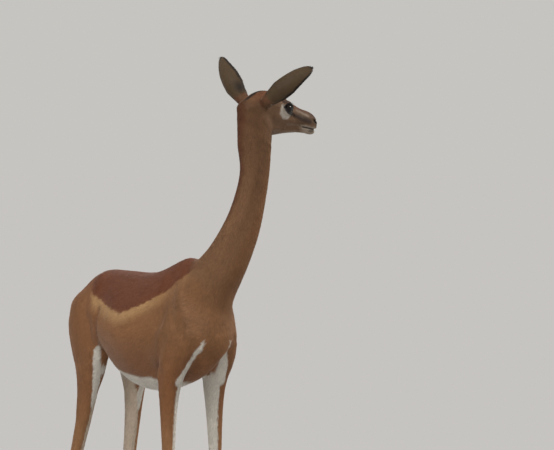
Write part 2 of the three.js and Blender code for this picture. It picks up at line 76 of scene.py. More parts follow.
# The head's frame: x from the back of the skull to the nose, y to its left and z up, placed by the eyes
HEAD_DROP = math.radians(10)  # how far the nose points down
HEAD_HEADING = math.radians(98)  # how far the head is turned to the left of the trunk
HEAD_TURN = Euler((0, HEAD_DROP, HEAD_HEADING), "XYZ").to_matrix()
EYE_IN_HEAD = Vector((95, 30.5, 22)) * MM
EYE_RADIUS = (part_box("eye_left")[1].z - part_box("eye_left")[0].z) / 2
GAZE_AHEAD = math.radians(14)  # how far each eye looks ahead of straight out to its side
GAZE_UP = math.radians(6)


def middle_of(node):
    low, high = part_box(node)
    return (low + high) / 2


EYES_MIDDLE = (middle_of("eye_left") + middle_of("eye_right")) / 2
HEAD_ORIGIN = EYES_MIDDLE - HEAD_TURN @ Vector((EYE_IN_HEAD.x, 0, EYE_IN_HEAD.z))
HEAD_AHEAD, HEAD_UP = (np.array(HEAD_TURN.col[i]) for i in (0, 2))

# The neck's line up to the skull: ahead of the rump, left of the middle, up, and its twist in degrees
NECK_LINE = np.array([
    (0.602, 0.000, 0.812, 0),
    (0.658, 0.012, 0.890, 7),
    (0.706, 0.035, 0.964, 16),
    (0.736, 0.060, 1.050, 31),
    (0.755, 0.076, 1.130, 46),
    (0.764, 0.084, 1.200, 58),
    (0.764, 0.087, 1.258, 68),
    (0.762, 0.088, 1.306, 76),
    (0.760, 0.087, 1.346, 80),
])

# Ears: the way each one points, in the heading of the head, and the sections of the cup from root to tip
EAR_WAYS = {"ear_left": (5, 106, 114), "ear_right": (80, -97, 88)}
EAR_ROOT = Vector((12, 45, 25)) * MM
EAR_LENGTH = 164.5 * MM
EAR_SUNK = 6 * MM  # how far the cup starts inside the head
EAR_SWAY = -1.5 * MM  # how far the middle of the cup bows to one side
EAR_TIP = 0.892  # the share of the length at which the cup starts to round off
EAR_WALL = 2.2 * MM
EAR_BULB = 15.5 * MM  # radius of the rounded root, where the cup leaves the head
EAR_SECTIONS = np.array([  # share of the length, radius in mm, half of the arc in radians
    (0.0, 15, 2.70),
    (0.08, 15.8, 2.42),
    (0.2, 21.7, 1.68),
    (0.35, 29.2, 1.57),
    (0.52, 30.1, 1.46),
    (0.7, 30.5, 1.08),
    (0.85, 28.1, 0.77),
    (0.95, 25.2, 0.51),
    (1.0, 22.5, 0.30),
])


def linear(code):
    """The linear colour of an sRGB hex code."""
    parts = [int(code[i : i + 2], 16) / 255 for i in (1, 3, 5)]
    return tuple(p / 12.92 if p <= 0.04045 else ((p + 0.055) / 1.055) ** 2.4 for p in parts)


def tint(name, code, description):
    return FloatVectorProperty(
        name=name, description=description, subtype="COLOR", size=3, min=0, max=1, default=linear(code)
    )


def length(name, default, description):
    return FloatProperty(
        name=name, description=description, default=default, min=0, precision=4, unit="LENGTH",
        subtype="DISTANCE",
    )


def angle(name, degrees, description):
    return FloatProperty(name=name, description=description, default=math.radians(degrees), subtype="ANGLE")


class GerenukColours(PropertyGroup):
    """Colours of the hair by its place, and of the bare parts."""

    saddle: tint("Saddle", "#6C3C24", "Red-brown hair of the back")
    saddle_line: tint("Pale line", "#AE875C", "Pale band under the saddle")
    side: tint("Side", "#8C603C", "Fawn hair of the flank and shoulder")
    thigh: tint("Thigh", "#885D3C", "Fawn hair of the haunch")
    neck: tint("Neck", "#7C593D", "Fawn hair of the neck")
    nape: tint("Nape", "#613A24", "Redder hair along the back of the neck")
    leg: tint("Leg", "#98704C", "Hair of the lower legs")
    white: tint("White", "#D4CEC3", "Underside, insides of the legs, lips and ring of the eye")
    crown: tint("Crown", "#70472F", "Red-brown hair of the forehead")
    face: tint("Face", "#745740", "Hair of the cheek")
    dark: tint("Dark", "#201712", "Streaks of the face, edges of the ears and brushes of the knees")
    ear: tint("Ear", "#503F2B", "Back of the ear")
    pale: tint("Pale", "#BDB0A0", "Inside of the ear and stripe of the muzzle")
    tail: tint("Tail", "#1C1310", "Tuft of the tail")
    nose: tint("Nose", "#1A1513", "Bare skin of the nose, lids and lips")
    eye: tint("Eye", "#140A06", "Iris")
    pupil: tint("Pupil", "#07070A", "Level pupil in the eye")
    horn: tint("Horn", "#2A221D", "Hooves and dewclaws")
    floor: tint("Floor", "#AFAFB0", "Studio floor")


class GerenukSizes(PropertyGroup):
    """Sizes of the skin and of the hair on it."""

    body_voxel: length("Body voxel", 3.2 * MM, "Grain of the body's skin before it is smoothed")
    head_voxel: length("Head voxel", 1.25 * MM, "Grain of the head's skin before it is smoothed")
    coat_depth: length("Coat depth", 2.0 * MM, "How far the body's skin lies inside the solids")
    body_hair: length("Body hair", 13 * MM, "Length of the hair on the trunk")
    neck_hair: length("Neck hair", 11 * MM, "Length of the hair on the neck")
    leg_hair: length("Leg hair", 8 * MM, "Length of the hair on the lower legs")
    face_hair: length("Face hair", 5 * MM, "Length of the hair on the head")
    ear_hair: length("Ear hair", 5 * MM, "Length of the short hair on the ears")
    tuft_hair: length("Tail tuft", 85 * MM, "Length of the longest hair of the tail")


class GerenukStage(PropertyGroup):
    """The camera and the studio light."""

    azimuth: angle("Azimuth", 61, "Where the camera stands round her, from her right side")
    elevation: angle("Elevation", 1.5, "How far the camera looks down")
    distance: length("Distance", 20.0, "From the camera to the middle of the picture")
    view_width: length("View width", 1.468, "Width of the picture at her middle")
    seed: IntProperty(name="Seed", description="Draw of the coat's random numbers", default=7)


# Arrays of a mesh
def corners(mesh):
    """The places of a mesh's vertices."""
    places = np.empty(len(mesh.vertices) * 3, np.float32)
    mesh.vertices.foreach_get("co", places)
    return places.reshape(-1, 3).astype(float)


def normals_of(mesh):
    ways = np.empty(len(mesh.vertices) * 3, np.float32)
    mesh.vertex_normals.foreach_get("vector", ways)
    return ways.reshape(-1, 3).astype(float)


def place_corners(mesh, places):
    mesh.vertices.foreach_set("co", places.astype(np.float32).ravel())
    mesh.update()


def unit(vectors):
    return vectors / np.maximum(np.linalg.norm(vectors, axis=-1, keepdims=True), 1e-9)


def ease(value, start, end):
    """0 before start, 1 past end and smooth between them."""
    share = np.clip((value - start) / (end - start), 0, 1)
    return share * share * (3 - 2 * share)


def neighbour_mean(mesh):
    """A function that gives each vertex the mean of a quantity over the vertices next to it."""
    ends = np.empty(len(mesh.edges) * 2, np.int32)
    mesh.edges.foreach_get("vertices", ends)
    first, second = ends.reshape(-1, 2).T
    count = len(mesh.vertices)
    around = np.maximum(np.bincount(first, minlength=count) + np.bincount(second, minlength=count), 1)

    def mean(values):
        columns = [
            np.bincount(first, column[second], count) + np.bincount(second, column[first], count)
            for column in values.T
        ]
        return np.stack(columns, axis=1) / around[:, None]

    return mean


def relax(mesh, reach, grain):
    """Smooths a mesh of even grain. reach is the radius over which each vertex is averaged."""
    rounds = max(1, math.ceil(2 * float(reach.max()) ** 2 / (0.6 * grain**2)))
    weight = (2 * reach**2 / (rounds * grain**2))[:, None]
    mean = neighbour_mean(mesh)
    places = corners(mesh)
    for _ in range(rounds):
        places += weight * (mean(places) - places)
    place_corners(mesh, places)


# Frames of the parts
def in_body(points):
    """Points as ahead of the rump, left of the middle plane and up."""
    return points - np.array([RUMP_X, MIDDLE_Y, 0.0])


def in_head(points):
    return (points - np.array(HEAD_ORIGIN)) @ np.array(HEAD_TURN)


def ear_frame(name):
    """The root of an ear, its axis, the way its cup opens and the way across it."""
    side = 1 if name == "ear_left" else -1
    turn = Matrix.Rotation(HEAD_HEADING, 3, "Z")
    axis = (turn @ Vector(EAR_WAYS[name])).normalized()
    opening = turn @ Vector((1, side * 0.1, 0))
    opening = (opening - axis * opening.dot(axis)).normalized()
    root = HEAD_ORIGIN + HEAD_TURN @ Vector((EAR_ROOT.x, side * EAR_ROOT.y, EAR_ROOT.z))
    return root, axis, opening, axis.cross(opening)


def in_ear(points, name):
    """Points as the share of the ear's length, the way across it and the way its cup opens."""
    root, axis, opening, across = ear_frame(name)
    away = points - np.array(root)
    along = (away @ np.array(axis) + EAR_SUNK) / EAR_LENGTH
    sway = EAR_SWAY * np.sin(math.pi * np.clip(along, 0, 1))
    return np.stack([along, away @ np.array(across) - sway, away @ np.array(opening)], axis=1)


def ear_bend(along):
    """How far the middle of an ear's cup is bent back, for a share of its length."""
    return (16 * np.sin(math.pi * np.clip(along, 0, 1)) - 12 * along) * MM


def eye_axis(side):
    """The way an eye looks. side is 1 for the left and -1 for the right."""
    level = Vector((math.sin(GAZE_AHEAD), side * math.cos(GAZE_AHEAD), 0)) * math.cos(GAZE_UP)
    return (HEAD_TURN @ (level + Vector((0, 0, math.sin(GAZE_UP))))).normalized()


def eye_frame(side):
    """The middle of an eye, the way to the nose across it, the way up it and the way it looks."""
    out = np.array(eye_axis(side))
    fore = unit(HEAD_AHEAD - out * (HEAD_AHEAD @ out))
    up = HEAD_UP - out * (HEAD_UP @ out)
    up = unit(up - fore * (up @ fore))
    return np.array(middle_of("eye_left" if side > 0 else "eye_right")), fore, up, out


# The opening between the lids, in mm: half its length, its height above and below, and its fall to the nose
LID_LONG, LID_RISE, LID_DROP, LID_TILT = 16.4, 11.8, 12.6, 1.4
EYE_REACH = 34  # mm from the middle of an eye; its lids and lashes end within it


def lid_edge(turn):
    """The edge of the lids in the eye's own plane, in mm: towards the nose and up, for a turn round it."""
    height = np.where(np.sin(turn) > 0, LID_RISE, LID_DROP)
    rise = height * np.sign(np.sin(turn)) * np.abs(np.sin(turn)) ** 1.25
    return LID_LONG * np.cos(turn), rise - LID_TILT * np.cos(turn)


def in_eye(points, side):
    """Points as mm towards the nose, up and out of the eye, and the share that they are past its opening."""
    centre, fore, up, out = eye_frame(side)
    away = (points - centre) / MM
    ahead, above, outward = away @ fore, away @ up, away @ out
    level = above + LID_TILT * ahead / LID_LONG
    height = np.where(level > 0, LID_RISE, LID_DROP)
    outside = np.sqrt((ahead / LID_LONG) ** 2 + np.abs(level / height) ** 1.6) - 1
    return ahead, above, outward, outside


def neck_back(height):
    """The way the nape faces, by height."""
    twist = np.radians(np.interp(height, NECK_LINE[:, 2], NECK_LINE[:, 3]))
    return np.stack([-np.cos(twist), -np.sin(twist), np.zeros_like(twist)], axis=1)


def neck_down(height):
    """The way down the neck's line, by height."""
    steps = np.diff(NECK_LINE[:, :3], axis=0)
    middles = (NECK_LINE[1:, 2] + NECK_LINE[:-1, 2]) / 2
    return -unit(np.stack([np.interp(height, middles, steps[:, i]) for i in range(3)], axis=1))


# Markings: the colour of the hair at each point, which skin and coat share
def wobble(points, size):
    """Smooth irregular values from -1 to 1 that change over about that size."""
    x, y, z = (points * (2 * math.pi / size)).T
    first = np.sin(x + 1.7 * np.sin(0.61 * y + 0.4))
    second = np.sin(0.83 * y + 1.3 * np.sin(0.77 * z + 1.9))
    third = np.sin(1.13 * z + 1.9 * np.sin(0.53 * x + 2.2))
    return (first + second + third) / 3


def near_stroke(places, path, radius, soft):
    """1 within a radius of a line through points in a plane, 0 past it by the softness."""
    nearest = np.full(len(places), np.inf)
    for start, end in zip(path[:-1], path[1:]):
        start, step = np.array(start), np.array(end) - np.array(start)
        share = np.clip((places - start) @ step / (step @ step), 0, 1)
        nearest = np.minimum(nearest, np.linalg.norm(places - start - share[:, None] * step, axis=1))
    return 1 - ease(nearest, radius, radius + soft)


class Paint:
    """A colour for each point, laid on in layers."""

    def __init__(self, count, first):
        self.colour = np.tile(np.array(first, float), (count, 1))

    def lay(self, colour, share):
        self.colour += (np.array(colour) - self.colour) * share[:, None]


# The saddle's lower edge and the upper edge of the belly's white: ahead of the rump, and up
SADDLE_EDGE = np.array([
    (0.100, 0.878), (0.150, 0.868), (0.250, 0.842), (0.350, 0.823), (0.370, 0.822),
    (0.410, 0.829), (0.500, 0.858), (0.549, 0.880), (0.600, 0.912), (0.660, 0.950),
])
BELLY_EDGE = np.array([
    (0.10, 0.690), (0.17, 0.676), (0.22, 0.673), (0.30, 0.668), (0.40, 0.656), (0.50, 0.650), (0.58, 0.645),
])
THIGH_FRONT = [(0.222, 0.825), (0.214, 0.770), (0.206, 0.715)]  # the crease where the thigh meets the flank

# Narrow white stripes seen from the front: places to the side of the middle and up, from the top down, the
# half width at each, and how far ahead of the rump they start
WHITE_STRIPES = (
    ([(0.036, 0.757), (0.044, 0.725), (0.052, 0.699), (0.058, 0.672), (0.066, 0.648)],
     [0.0005, 0.005, 0.008, 0.010, 0.009], 0.59),  # between the arm and the breast
    ([(0.077, 0.738), (0.076, 0.713), (0.071, 0.680), (0.067, 0.647), (0.062, 0.604), (0.057, 0.56)],
     [0.0005, 0.005, 0.007, 0.007, 0.006, 0.006], 0.10),  # front of the thigh
)


STRIPE_REACH = 0.20  # how far forwards each stripe goes on from its start


def paint_stripes(paint, points, normals, colours):
    """The white stripes, where the skin faces forwards."""
    ahead, left, up = in_body(points).T
    front_view = np.stack([np.abs(left), up], axis=1)
    faces_ahead = ease(normals[:, 0], 0.0, 0.3)
    rough = wobble(points, 0.02) * 0.001
    for path, widths, start in WHITE_STRIPES:
        width = np.interp(up, [height for _, height in path[::-1]], widths[::-1]) + rough
        stripe = near_stroke(front_view, path, width, 0.003) * faces_ahead * ease(ahead, start, start + 0.02)
        end = start + STRIPE_REACH
        paint.lay(colours.white, stripe * (1 - ease(ahead, end, end + 0.02)))


def paint_trunk(paint, points, normals, colours, is_haunch, on_trunk):
    """Saddle, pale line, flank and belly, the red hair of the croup, painted shade low on the trunk above the
    belly and a painted shadow in the crease in front of the thigh.
    """
    ahead, _, up = in_body(points).T
    rough = wobble(points, 0.03) * 0.0025 + wobble(points, 0.011) * 0.0015
    above = up + rough - np.interp(ahead, SADDLE_EDGE[:, 0], SADDLE_EDGE[:, 1])
    paint.lay(colours.thigh, np.maximum(is_haunch, 1 - ease(ahead + 0.3 * (up - 0.8), 0.19, 0.23)))
    below = -above
    flank = 0.6 * ease(below, 0.05, 0.10) * ease(ahead, 0.2, 0.3) * (1 - ease(ahead, 0.5, 0.6))
    paint.lay(colours.thigh, flank)
    # Painted shade: the lower trunk, where it turns under above the white belly, is darkened with the
    # saddle's colour
    paint.lay(colours.saddle, 0.25 * ease(0.72 - up, -0.05, 0.04) * ease(ahead, 0.2, 0.3))
    paint.lay(colours.neck, 0.6 * ease(ahead, 0.44, 0.58) * ease(up, 0.66, 0.80))
    slant = ahead - 0.152 + 0.7 * (up - 0.866) + rough * 2
    rear = ease(slant, -0.012, 0.012)
    line = ease(below, -0.003, 0.003) * (1 - ease(below + rough, 0.008, 0.045)) * ease(slant, -0.012, 0.02)
    paint.lay(colours.saddle_line, line * (1 - 0.8 * ease(ahead, 0.46, 0.6)))
    croup = ease(up, 0.85, 0.925) * (1 - rear) * 0.8
    paint.lay(colours.saddle, croup)
    paint.lay(colours.saddle, ease(above, -0.003, 0.003) * rear)
    paint_stripes(paint, points, normals, colours)
    side_view = np.stack([ahead, up], axis=1)
    # Painted shade: a darker line in the crease where the front of the thigh meets the flank, on the sides
    # only
    crease = near_stroke(side_view, THIGH_FRONT, 0.001, 0.014)
    paint.lay(colours.nape, 0.4 * crease * ease(np.abs(normals[:, 1]), 0.3, 0.6))
    belly = np.interp(ahead, BELLY_EDGE[:, 0], BELLY_EDGE[:, 1])
    under = ease(belly - up + rough, -0.002, 0.005) * (1 - ease(ahead, 0.53, 0.60))
    paint.lay(colours.white, under * on_trunk)


def paint_neck(paint, points, normals, colours):
    """Darker upwards, red-brown down the nape and paler down the throat."""
    up = points[:, 2]
    paint.lay(np.array(colours.neck) * 0.72, 0.8 * ease(up, 1.06, 1.28))
    back = (normals * neck_back(up)).sum(axis=1)
    paint.lay(colours.nape, ease(back + 0.15 * wobble(points, 0.05), 0.45, 0.95) * 0.9)
    paint.lay(colours.side, ease(-back, 0.55, 1.0) * 0.45)


def paint_leg(paint, points, normals, colours, side, is_hind, is_lower):
    """Fawn outside, white inside; the brush of the knee is darker."""
    up = points[:, 2]
    rough = wobble(points, 0.02) * 0.1
    inward = -side * normals[:, 1] + rough
    if is_lower:
        paint.lay(colours.leg, np.ones(len(points)))
    else:
        paint.lay(colours.leg, 1 - ease(up, 0.40, 0.62))
    front = normals[:, 0]
    turned = 0.6 * (1 - ease(up, 0.50, 0.60)) if is_hind else 0.35
    wrap = inward + turned * np.maximum(front, 0)
    top = 0.72 if is_hind else 0.655
    narrow = 0.5 * ease(up, 0.54, 0.67) * ease(front, 0.1, 0.45) if is_hind else 0
    white = ease(wrap - narrow, 0.35, 0.6) * (1 - ease(up, top, top + 0.03))
    white = white * (0.35 + 0.65 * ease(up, 0.12, 0.30))
    paint_stripes(paint, points, normals, colours)
    paint.lay(colours.white, white)
    if is_hind:
        paint.lay(colours.saddle_line, 0.45 * white * (1 - ease(up, 0.62, 0.68)))
        seat = ease(-normals[:, 0], 0.5, 0.9) * ease(up, 0.56, 0.70) * ease(inward, -0.1, 0.35)
        paint.lay(colours.white, seat)
    paint.lay(colours.dark, 0.5 * (1 - ease(up, 0.045, 0.075)))
    if not is_hind:
        knee = ease(normals[:, 0], 0.3, 0.8) * ease(up, 0.275, 0.310) * (1 - ease(up, 0.335, 0.365))
        paint.lay(colours.dark, 0.5 * knee)


NOSTRIL = [(203, 8), (211, 4)]  # x and z in the head's frame, in mm
RING_REACH = 17  # mm from the middle of the eye to the edge of its white ring, where it is narrowest
RING_BULGE = 11.5  # and how much further it reaches on its widest side
RING_WAY = math.radians(53)  # the turn at which it is narrowest, from the nose upwards


def paint_head(paint, points, normals, colours):
    """Red-brown forehead, fawn cheek, white ring round the eye, dark muzzle and pale lips."""
    x, y, z = in_head(points).T / MM
    outward = np.abs(y)
    side_view = np.stack([x, z], axis=1)
    rough = wobble(points, 0.012)
    facing_up = normals @ HEAD_UP
    crown = ease(facing_up + 0.12 * rough, 0.30, 0.80) * ease(z, 5, 25)
    paint.lay(colours.crown, crown)
    paint.lay(colours.crown, 0.55 * ease(z, 12, 45) * (1 - ease(x, 40, 70)))
    paint.lay(colours.dark, 0.45 * ease(x, 176, 204) * ease(facing_up, 0.3, 0.8))
    flank = ease(outward, 11, 16)
    muzzle = ease(x, 120, 168) * ease(z, -16, -6)
    paint.lay(colours.dark, 0.42 * muzzle)
    streak = near_stroke(side_view, [(110, 14), (150, 8), (186, 4)], 2.5 + 0.5 * rough, 8)
    paint.lay(colours.dark, 0.70 * flank * streak)
    stripe = near_stroke(side_view, [(138, 25.5), (156, 22), (180, 17)], 0.8 + 0.5 * rough, 4.5)
    paint.lay(colours.pale, 0.28 * ease(outward, 7, 12) * stripe)

    nearer = np.where(y > 0, 1, -1)
    sides = [in_eye(points, side) for side in (1, -1)]
    ahead, above, out, outside = (np.where(nearer > 0, left, right) for left, right in zip(*sides))
    angle = np.arctan2(above, ahead)
    behind = 0.5 - 0.5 * np.cos(angle - RING_WAY)
    away = np.hypot(ahead, above)
    reach = RING_REACH + RING_BULGE * behind + 1.5 * rough
    is_near = ease(out, -6, 2)
    ring = (1 - ease(away, reach - 3, reach + 3)) * ease(behind, 0.50, 0.76) * is_near
    paint.lay(colours.white, 0.70 * ring)
    eye_view = np.stack([ahead, above], axis=1)
    brow = near_stroke(eye_view, [(-18, 15), (-4, 19), (12, 16)], 1.5, 3.5) * is_near
    paint.lay(colours.dark, 0.8 * brow)
    glint = near_stroke(eye_view, [(19.5, 0), (19, 7), (15, 13)], 0.5, 2.2) * is_near
    paint.lay(colours.white, 0.6 * glint)
    paint.lay(colours.nose, (1 - ease(outside + 0.05 * rough, 0.13, 0.27)) * is_near)
    tear = near_stroke(side_view, [(109, 16), (119, 10)], 1.2, 3) * ease(outward, 18, 24)
    paint.lay(colours.nose, 0.9 * tear)

    lip = (1 - ease(np.abs(z + 13.5) + 0.8 * rough, 3.0, 8.0)) * ease(x, 150, 176)
    paint.lay(colours.pale, 0.62 * lip)
    chin = ease(x, 160, 184) * ease(-z, 15, 21)
    paint.lay(colours.pale, 0.55 * chin)
    under_lip = near_stroke(side_view, [(196, -19), (206, -18)], 1.5, 4)
    paint.lay(colours.dark, 0.55 * under_lip)
    throat = ease(-facing_up, 0.5, 0.9) * ease(x, 20, 60)
    paint.lay(colours.pale, 0.32 * throat * (1 - ease(x, 150, 168)))
    gap = (1 - ease(np.abs(z + 13.2), 0.9, 2.6)) * ease(x, 164, 170)
    pad = ease(x + 0.15 * z, 207, 211) * ease(z, -9, -6)
    pad = pad * (1 - ease(outward - 0.25 * z, 5, 8)) * (1 - ease(z, 9, 13))
    nostril = near_stroke(side_view, NOSTRIL, 2.6, 2.4) * ease(outward, 3, 7)
    paint.lay(colours.nose, np.clip(gap + pad + nostril, 0, 1))


def paint_ear(paint, points, normals, colours, name):
    """Grey-brown back, black edge and tip; inside, white hair and dark streaks that fan from the root."""
    along, across, opening = in_ear(points, name).T
    radius = np.interp(along, EAR_SECTIONS[:, 0], EAR_SECTIONS[:, 1]) * MM
    spread = np.interp(along, EAR_SECTIONS[:, 0], EAR_SECTIONS[:, 2])
    depth = opening + ear_bend(along) + radius * 0.55
    share = np.arctan2(across, radius - depth) / spread
    faces_out = normals @ np.array(ear_frame(name)[2])
    is_deep = ease(radius - 1.1 * MM - np.hypot(across, radius - depth), -0.0004, 0.0004)
    inside = np.where(along < 0.3, is_deep, np.minimum(is_deep + 0.5, 1) * ease(faces_out, -0.05, 0.15))
    rough = wobble(points, 0.016) * 0.06
    paint.lay(colours.ear, np.ones(len(points)))
    paint.lay(colours.neck, 0.5 * (1 - ease(along, 0.02, 0.22)))
    inner_side = ease(-share if name == "ear_left" else share, 0.1, 0.6)
    paint.lay(colours.dark, 0.85 * np.exp(-(((along - 0.23) / 0.1) ** 2)) * inner_side)
    paint.lay(colours.pale, inside)
    paint.lay(colours.white, 0.6 * inside * ease(np.abs(share), 0.35, 0.8))
    flat = np.stack([along, share], axis=1)
    centre = near_stroke(flat, [(0.0, 0.0), (0.45, 0.04)], 0.17 + rough, 0.14)
    upper = near_stroke(flat, [(0.3, 0.16), (0.6, 0.40), (0.84, 0.46)], 0.04 + rough, 0.08)
    lower = near_stroke(flat, [(0.3, -0.12), (0.6, -0.34), (0.82, -0.40)], 0.04 + rough, 0.08)
    tipward = near_stroke(flat, [(0.45, 0.04), (0.86, 0.02)], 0.05 + rough, 0.08)
    paint.lay(colours.dark, 0.92 * inside * np.clip(centre + upper + lower + tipward, 0, 1))
    edge = np.maximum(ease(np.abs(share) + rough * 0.4, 0.76, 0.85), ease(along + rough * 0.3, 0.935, 0.965))
    paint.lay(colours.dark, 0.95 * edge * ease(along, 0.2, 0.4))


def paint_tail(paint, points, normals, colours):
    """Fawn, white underneath and black down to the tuft."""
    paint.lay(colours.side, np.ones(len(points)))
    paint.lay(colours.tail, 1 - ease(points[:, 2] + 0.01 * wobble(points, 0.02), 0.74, 0.79))
    paint.lay(colours.white, 0.7 * ease(normals[:, 0], 0.2, 0.6) * ease(points[:, 2], 0.78, 0.8))


def markings(points, normals, kinds):
    """The colour of the coat at points of the skin. kinds is the node that each point belongs to."""
    colours = bpy.context.scene.gerenuk_colours
    result = np.empty((len(points), 3))
    for index, name in enumerate(FLESH):
        chosen = kinds == index
        if not chosen.any():
            continue
        places, ways = points[chosen], normals[chosen]
        paint = Paint(len(places), colours.side)
        nowhere, everywhere = np.zeros(len(places)), np.ones(len(places))
        if name == "neck":
            rise = ease(places[:, 2] + 0.6 * (places[:, 0] - RUMP_X - 0.66), 0.90, 1.0)
            paint_trunk(paint, places, ways, colours, nowhere, everywhere)
            paint.lay(colours.neck, rise)
            above = Paint(len(places), colours.neck)
            paint_neck(above, places, ways, colours)
            paint.colour += (above.colour - paint.colour) * rise[:, None]
        elif name == "head":
            paint = Paint(len(places), colours.neck)
            paint_neck(paint, places, ways, colours)
            x, y, z = in_head(places).T / MM
            face = ease(x + 0.5 * z + 6 * wobble(places, 0.05), -22, 58)
            before = paint.colour.copy()
            paint.lay(colours.face, face)
            paint_head(paint, places, ways, colours)
            paint.colour = before + (paint.colour - before) * face[:, None]
            width = 6 + 1.5 * wobble(places, 0.02)
            streak = (1 - ease(np.abs(y) - width, -1.5, 2.5)) * (1 - ease(x, 58, 76)) * ease(x, -24, -6)
            paint.lay(colours.dark, 0.9 * streak * ease(z, 6, 22))
        elif name.startswith("ear"):
            paint_ear(paint, places, ways, colours, name)
        elif name == "tail":
            paint_tail(paint, places, ways, colours)
        elif name == "torso":
            paint_trunk(paint, places, ways, colours, nowhere, everywhere)
        else:
            side = 1 if "left" in name else -1
            is_hind = name.startswith("hind")
            if name.endswith("upper"):
                haunch = everywhere * (1.0 if is_hind else 0.2)
                paint_trunk(paint, places, ways, colours, haunch, nowhere)
            paint_leg(paint, places, ways, colours, side, is_hind, name.endswith("lower"))
        result[chosen] = paint.colour
    return np.clip(result, 0, 1)


# Materials
def add_node(tree, kind, inputs=None, **settings):
    """A node with its settings, and its sockets set to values or linked from other sockets."""
    made = tree.nodes.new(kind)
    for name, value in settings.items():
        setattr(made, name, value)
    for name, value in (inputs or {}).items():
        if isinstance(value, bpy.types.NodeSocket):
            tree.links.new(value, made.inputs[name])
        else:
            made.inputs[name].default_value = value
    return made


def new_material(name, **sockets):
    """A material of one principled shader. Gives its tree, the shader and the object coordinates."""
    material = bpy.data.materials.new(name)
    material.use_nodes = True
    tree = material.node_tree
    shader = tree.nodes["Principled BSDF"]
    for socket, value in sockets.items():
        shader.inputs[socket.replace("_", " ")].default_value = value
    places = add_node(tree, "ShaderNodeTexCoord").outputs["Object"]
    return material, tree, shader, places


def vary(tree, colour, places, scale, low, high, detail=2.0):
    """A colour made lighter and darker over patches. scale is patches to the metre, so 26 are 38 mm wide."""
    noise = add_node(tree, "ShaderNodeTexNoise", {"Vector": places, "Scale": scale, "Detail": detail})
    level = add_node(tree, "ShaderNodeMapRange", {0: noise.outputs["Fac"], 1: 0.3, 2: 0.7, 3: low, 4: high})
    shade = add_node(tree, "ShaderNodeCombineColor", {i: level.outputs["Result"] for i in range(3)})
    mixed = add_node(tree, "ShaderNodeMix", {0: 1.0, 6: colour, 7: shade.outputs["Color"]},
                     data_type="RGBA", blend_type="MULTIPLY")
    return mixed.outputs[2]


def marked_material(name, scale, low, high, **sockets):
    """A material in the colours of the markings, lighter and darker over patches. It is made only once."""
    if name in bpy.data.materials:
        return bpy.data.materials[name]
    material, tree, shader, places = new_material(name, **sockets)
    marks = add_node(tree, "ShaderNodeAttribute", attribute_name="Markings").outputs["Color"]
    tree.links.new(vary(tree, marks, places, scale, low, high), shader.inputs["Base Color"])
    return material


def skin_material():
    """Short sleek hair seen from a step away: a soft sheen, and patches 4 cm wide where it lies unevenly.

    Its grain is 2 mm, coarser than real hair, so that it shows.
    """
    material, tree, shader, places = new_material(
        "Sleek short hair", Roughness=0.62, Specular_IOR_Level=0.22, Sheen_Weight=0.08, Sheen_Roughness=0.4)
    marks = add_node(tree, "ShaderNodeAttribute", attribute_name="Markings").outputs["Color"]
    patches = vary(tree, marks, places, 26, 0.93, 1.05)
    grain = vary(tree, patches, places, 420, 0.86, 1.08, detail=3.0)
    tree.links.new(grain, shader.inputs["Base Color"])
    hairs = add_node(tree, "ShaderNodeTexNoise", {"Vector": places, "Scale": 520.0, "Detail": 3.0})
    bump = add_node(tree, "ShaderNodeBump",
                    {"Height": hairs.outputs["Fac"], "Strength": 0.5, "Distance": 0.8 * MM})
    tree.links.new(bump.outputs["Normal"], shader.inputs["Normal"])
    return material


def hair_material():
    """Hair of the coat: glossy enough to catch a light along its edges."""
    return marked_material("Coat hair", 26, 0.93, 1.05, Roughness=0.58, Specular_IOR_Level=0.25,
                           Sheen_Weight=0.1, Sheen_Roughness=0.35)


def eye_material():
    """A wet eye: near black and mottled at about 1 mm, with a clear coat that mirrors the lights."""
    return marked_material("Wet eye", 900, 0.7, 1.3, Roughness=0.3, Specular_IOR_Level=0.0,
                           Coat_Weight=1.0, Coat_Roughness=0.02, Coat_IOR=1.36)


def lid_material():
    """Moist black skin of the lids, with a dull shine and fine unevenness."""
    return marked_material("Moist lid", 700, 0.8, 1.2, Roughness=0.34, Specular_IOR_Level=0.5)


def horn_material():
    """Worn horn: dark and satin, with rings of growth about 5 mm apart and dust up to 18 mm."""
    colours = bpy.context.scene.gerenuk_colours
    material, tree, shader, places = new_material(
        "Hoof horn", Roughness=0.42, Specular_IOR_Level=0.5, IOR=1.55)
    base = add_node(tree, "ShaderNodeRGB")
    base.outputs[0].default_value = (*colours.horn, 1)
    height = add_node(tree, "ShaderNodeSeparateXYZ", {0: places})
    dust = add_node(tree, "ShaderNodeMapRange", {0: height.outputs["Z"], 1: 0.0, 2: 0.018, 3: 0.22, 4: 0.0})
    dusty = add_node(tree, "ShaderNodeMix",
                     {0: dust.outputs["Result"], 6: base.outputs[0], 7: (*colours.leg, 1)}, data_type="RGBA")
    tree.links.new(vary(tree, dusty.outputs[2], places, 180, 0.7, 1.25), shader.inputs["Base Color"])
    wave = {"Vector": places, "Scale": 60.0, "Distortion": 1.5, "Detail": 2.0, "Detail Scale": 2.0}
    rings = add_node(tree, "ShaderNodeTexWave", wave, wave_type="BANDS", bands_direction="Z")
    bump = add_node(tree, "ShaderNodeBump",
                    {"Height": rings.outputs["Fac"], "Strength": 0.35, "Distance": 0.4 * MM})
    tree.links.new(bump.outputs["Normal"], shader.inputs["Normal"])
    return material


def floor_material():
    """A studio floor in matt paint, plain and pale and without a shine."""
    floor = (*bpy.context.scene.gerenuk_colours.floor, 1)
    return new_material("Matt floor paint", Base_Color=floor, Roughness=0.9, Specular_IOR_Level=0.0)[0]


# Shapes
def linked(name, mesh, material):
    """A finished piece of the model, at the origin and riding on the body."""
    piece = bpy.data.objects.new(name, mesh)
    bpy.context.scene.collection.objects.link(piece)
    mesh.materials.clear()
    mesh.materials.append(material)
    mesh.polygons.foreach_set("use_smooth", np.ones(len(mesh.polygons), bool))
    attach(piece, "root")
    return piece


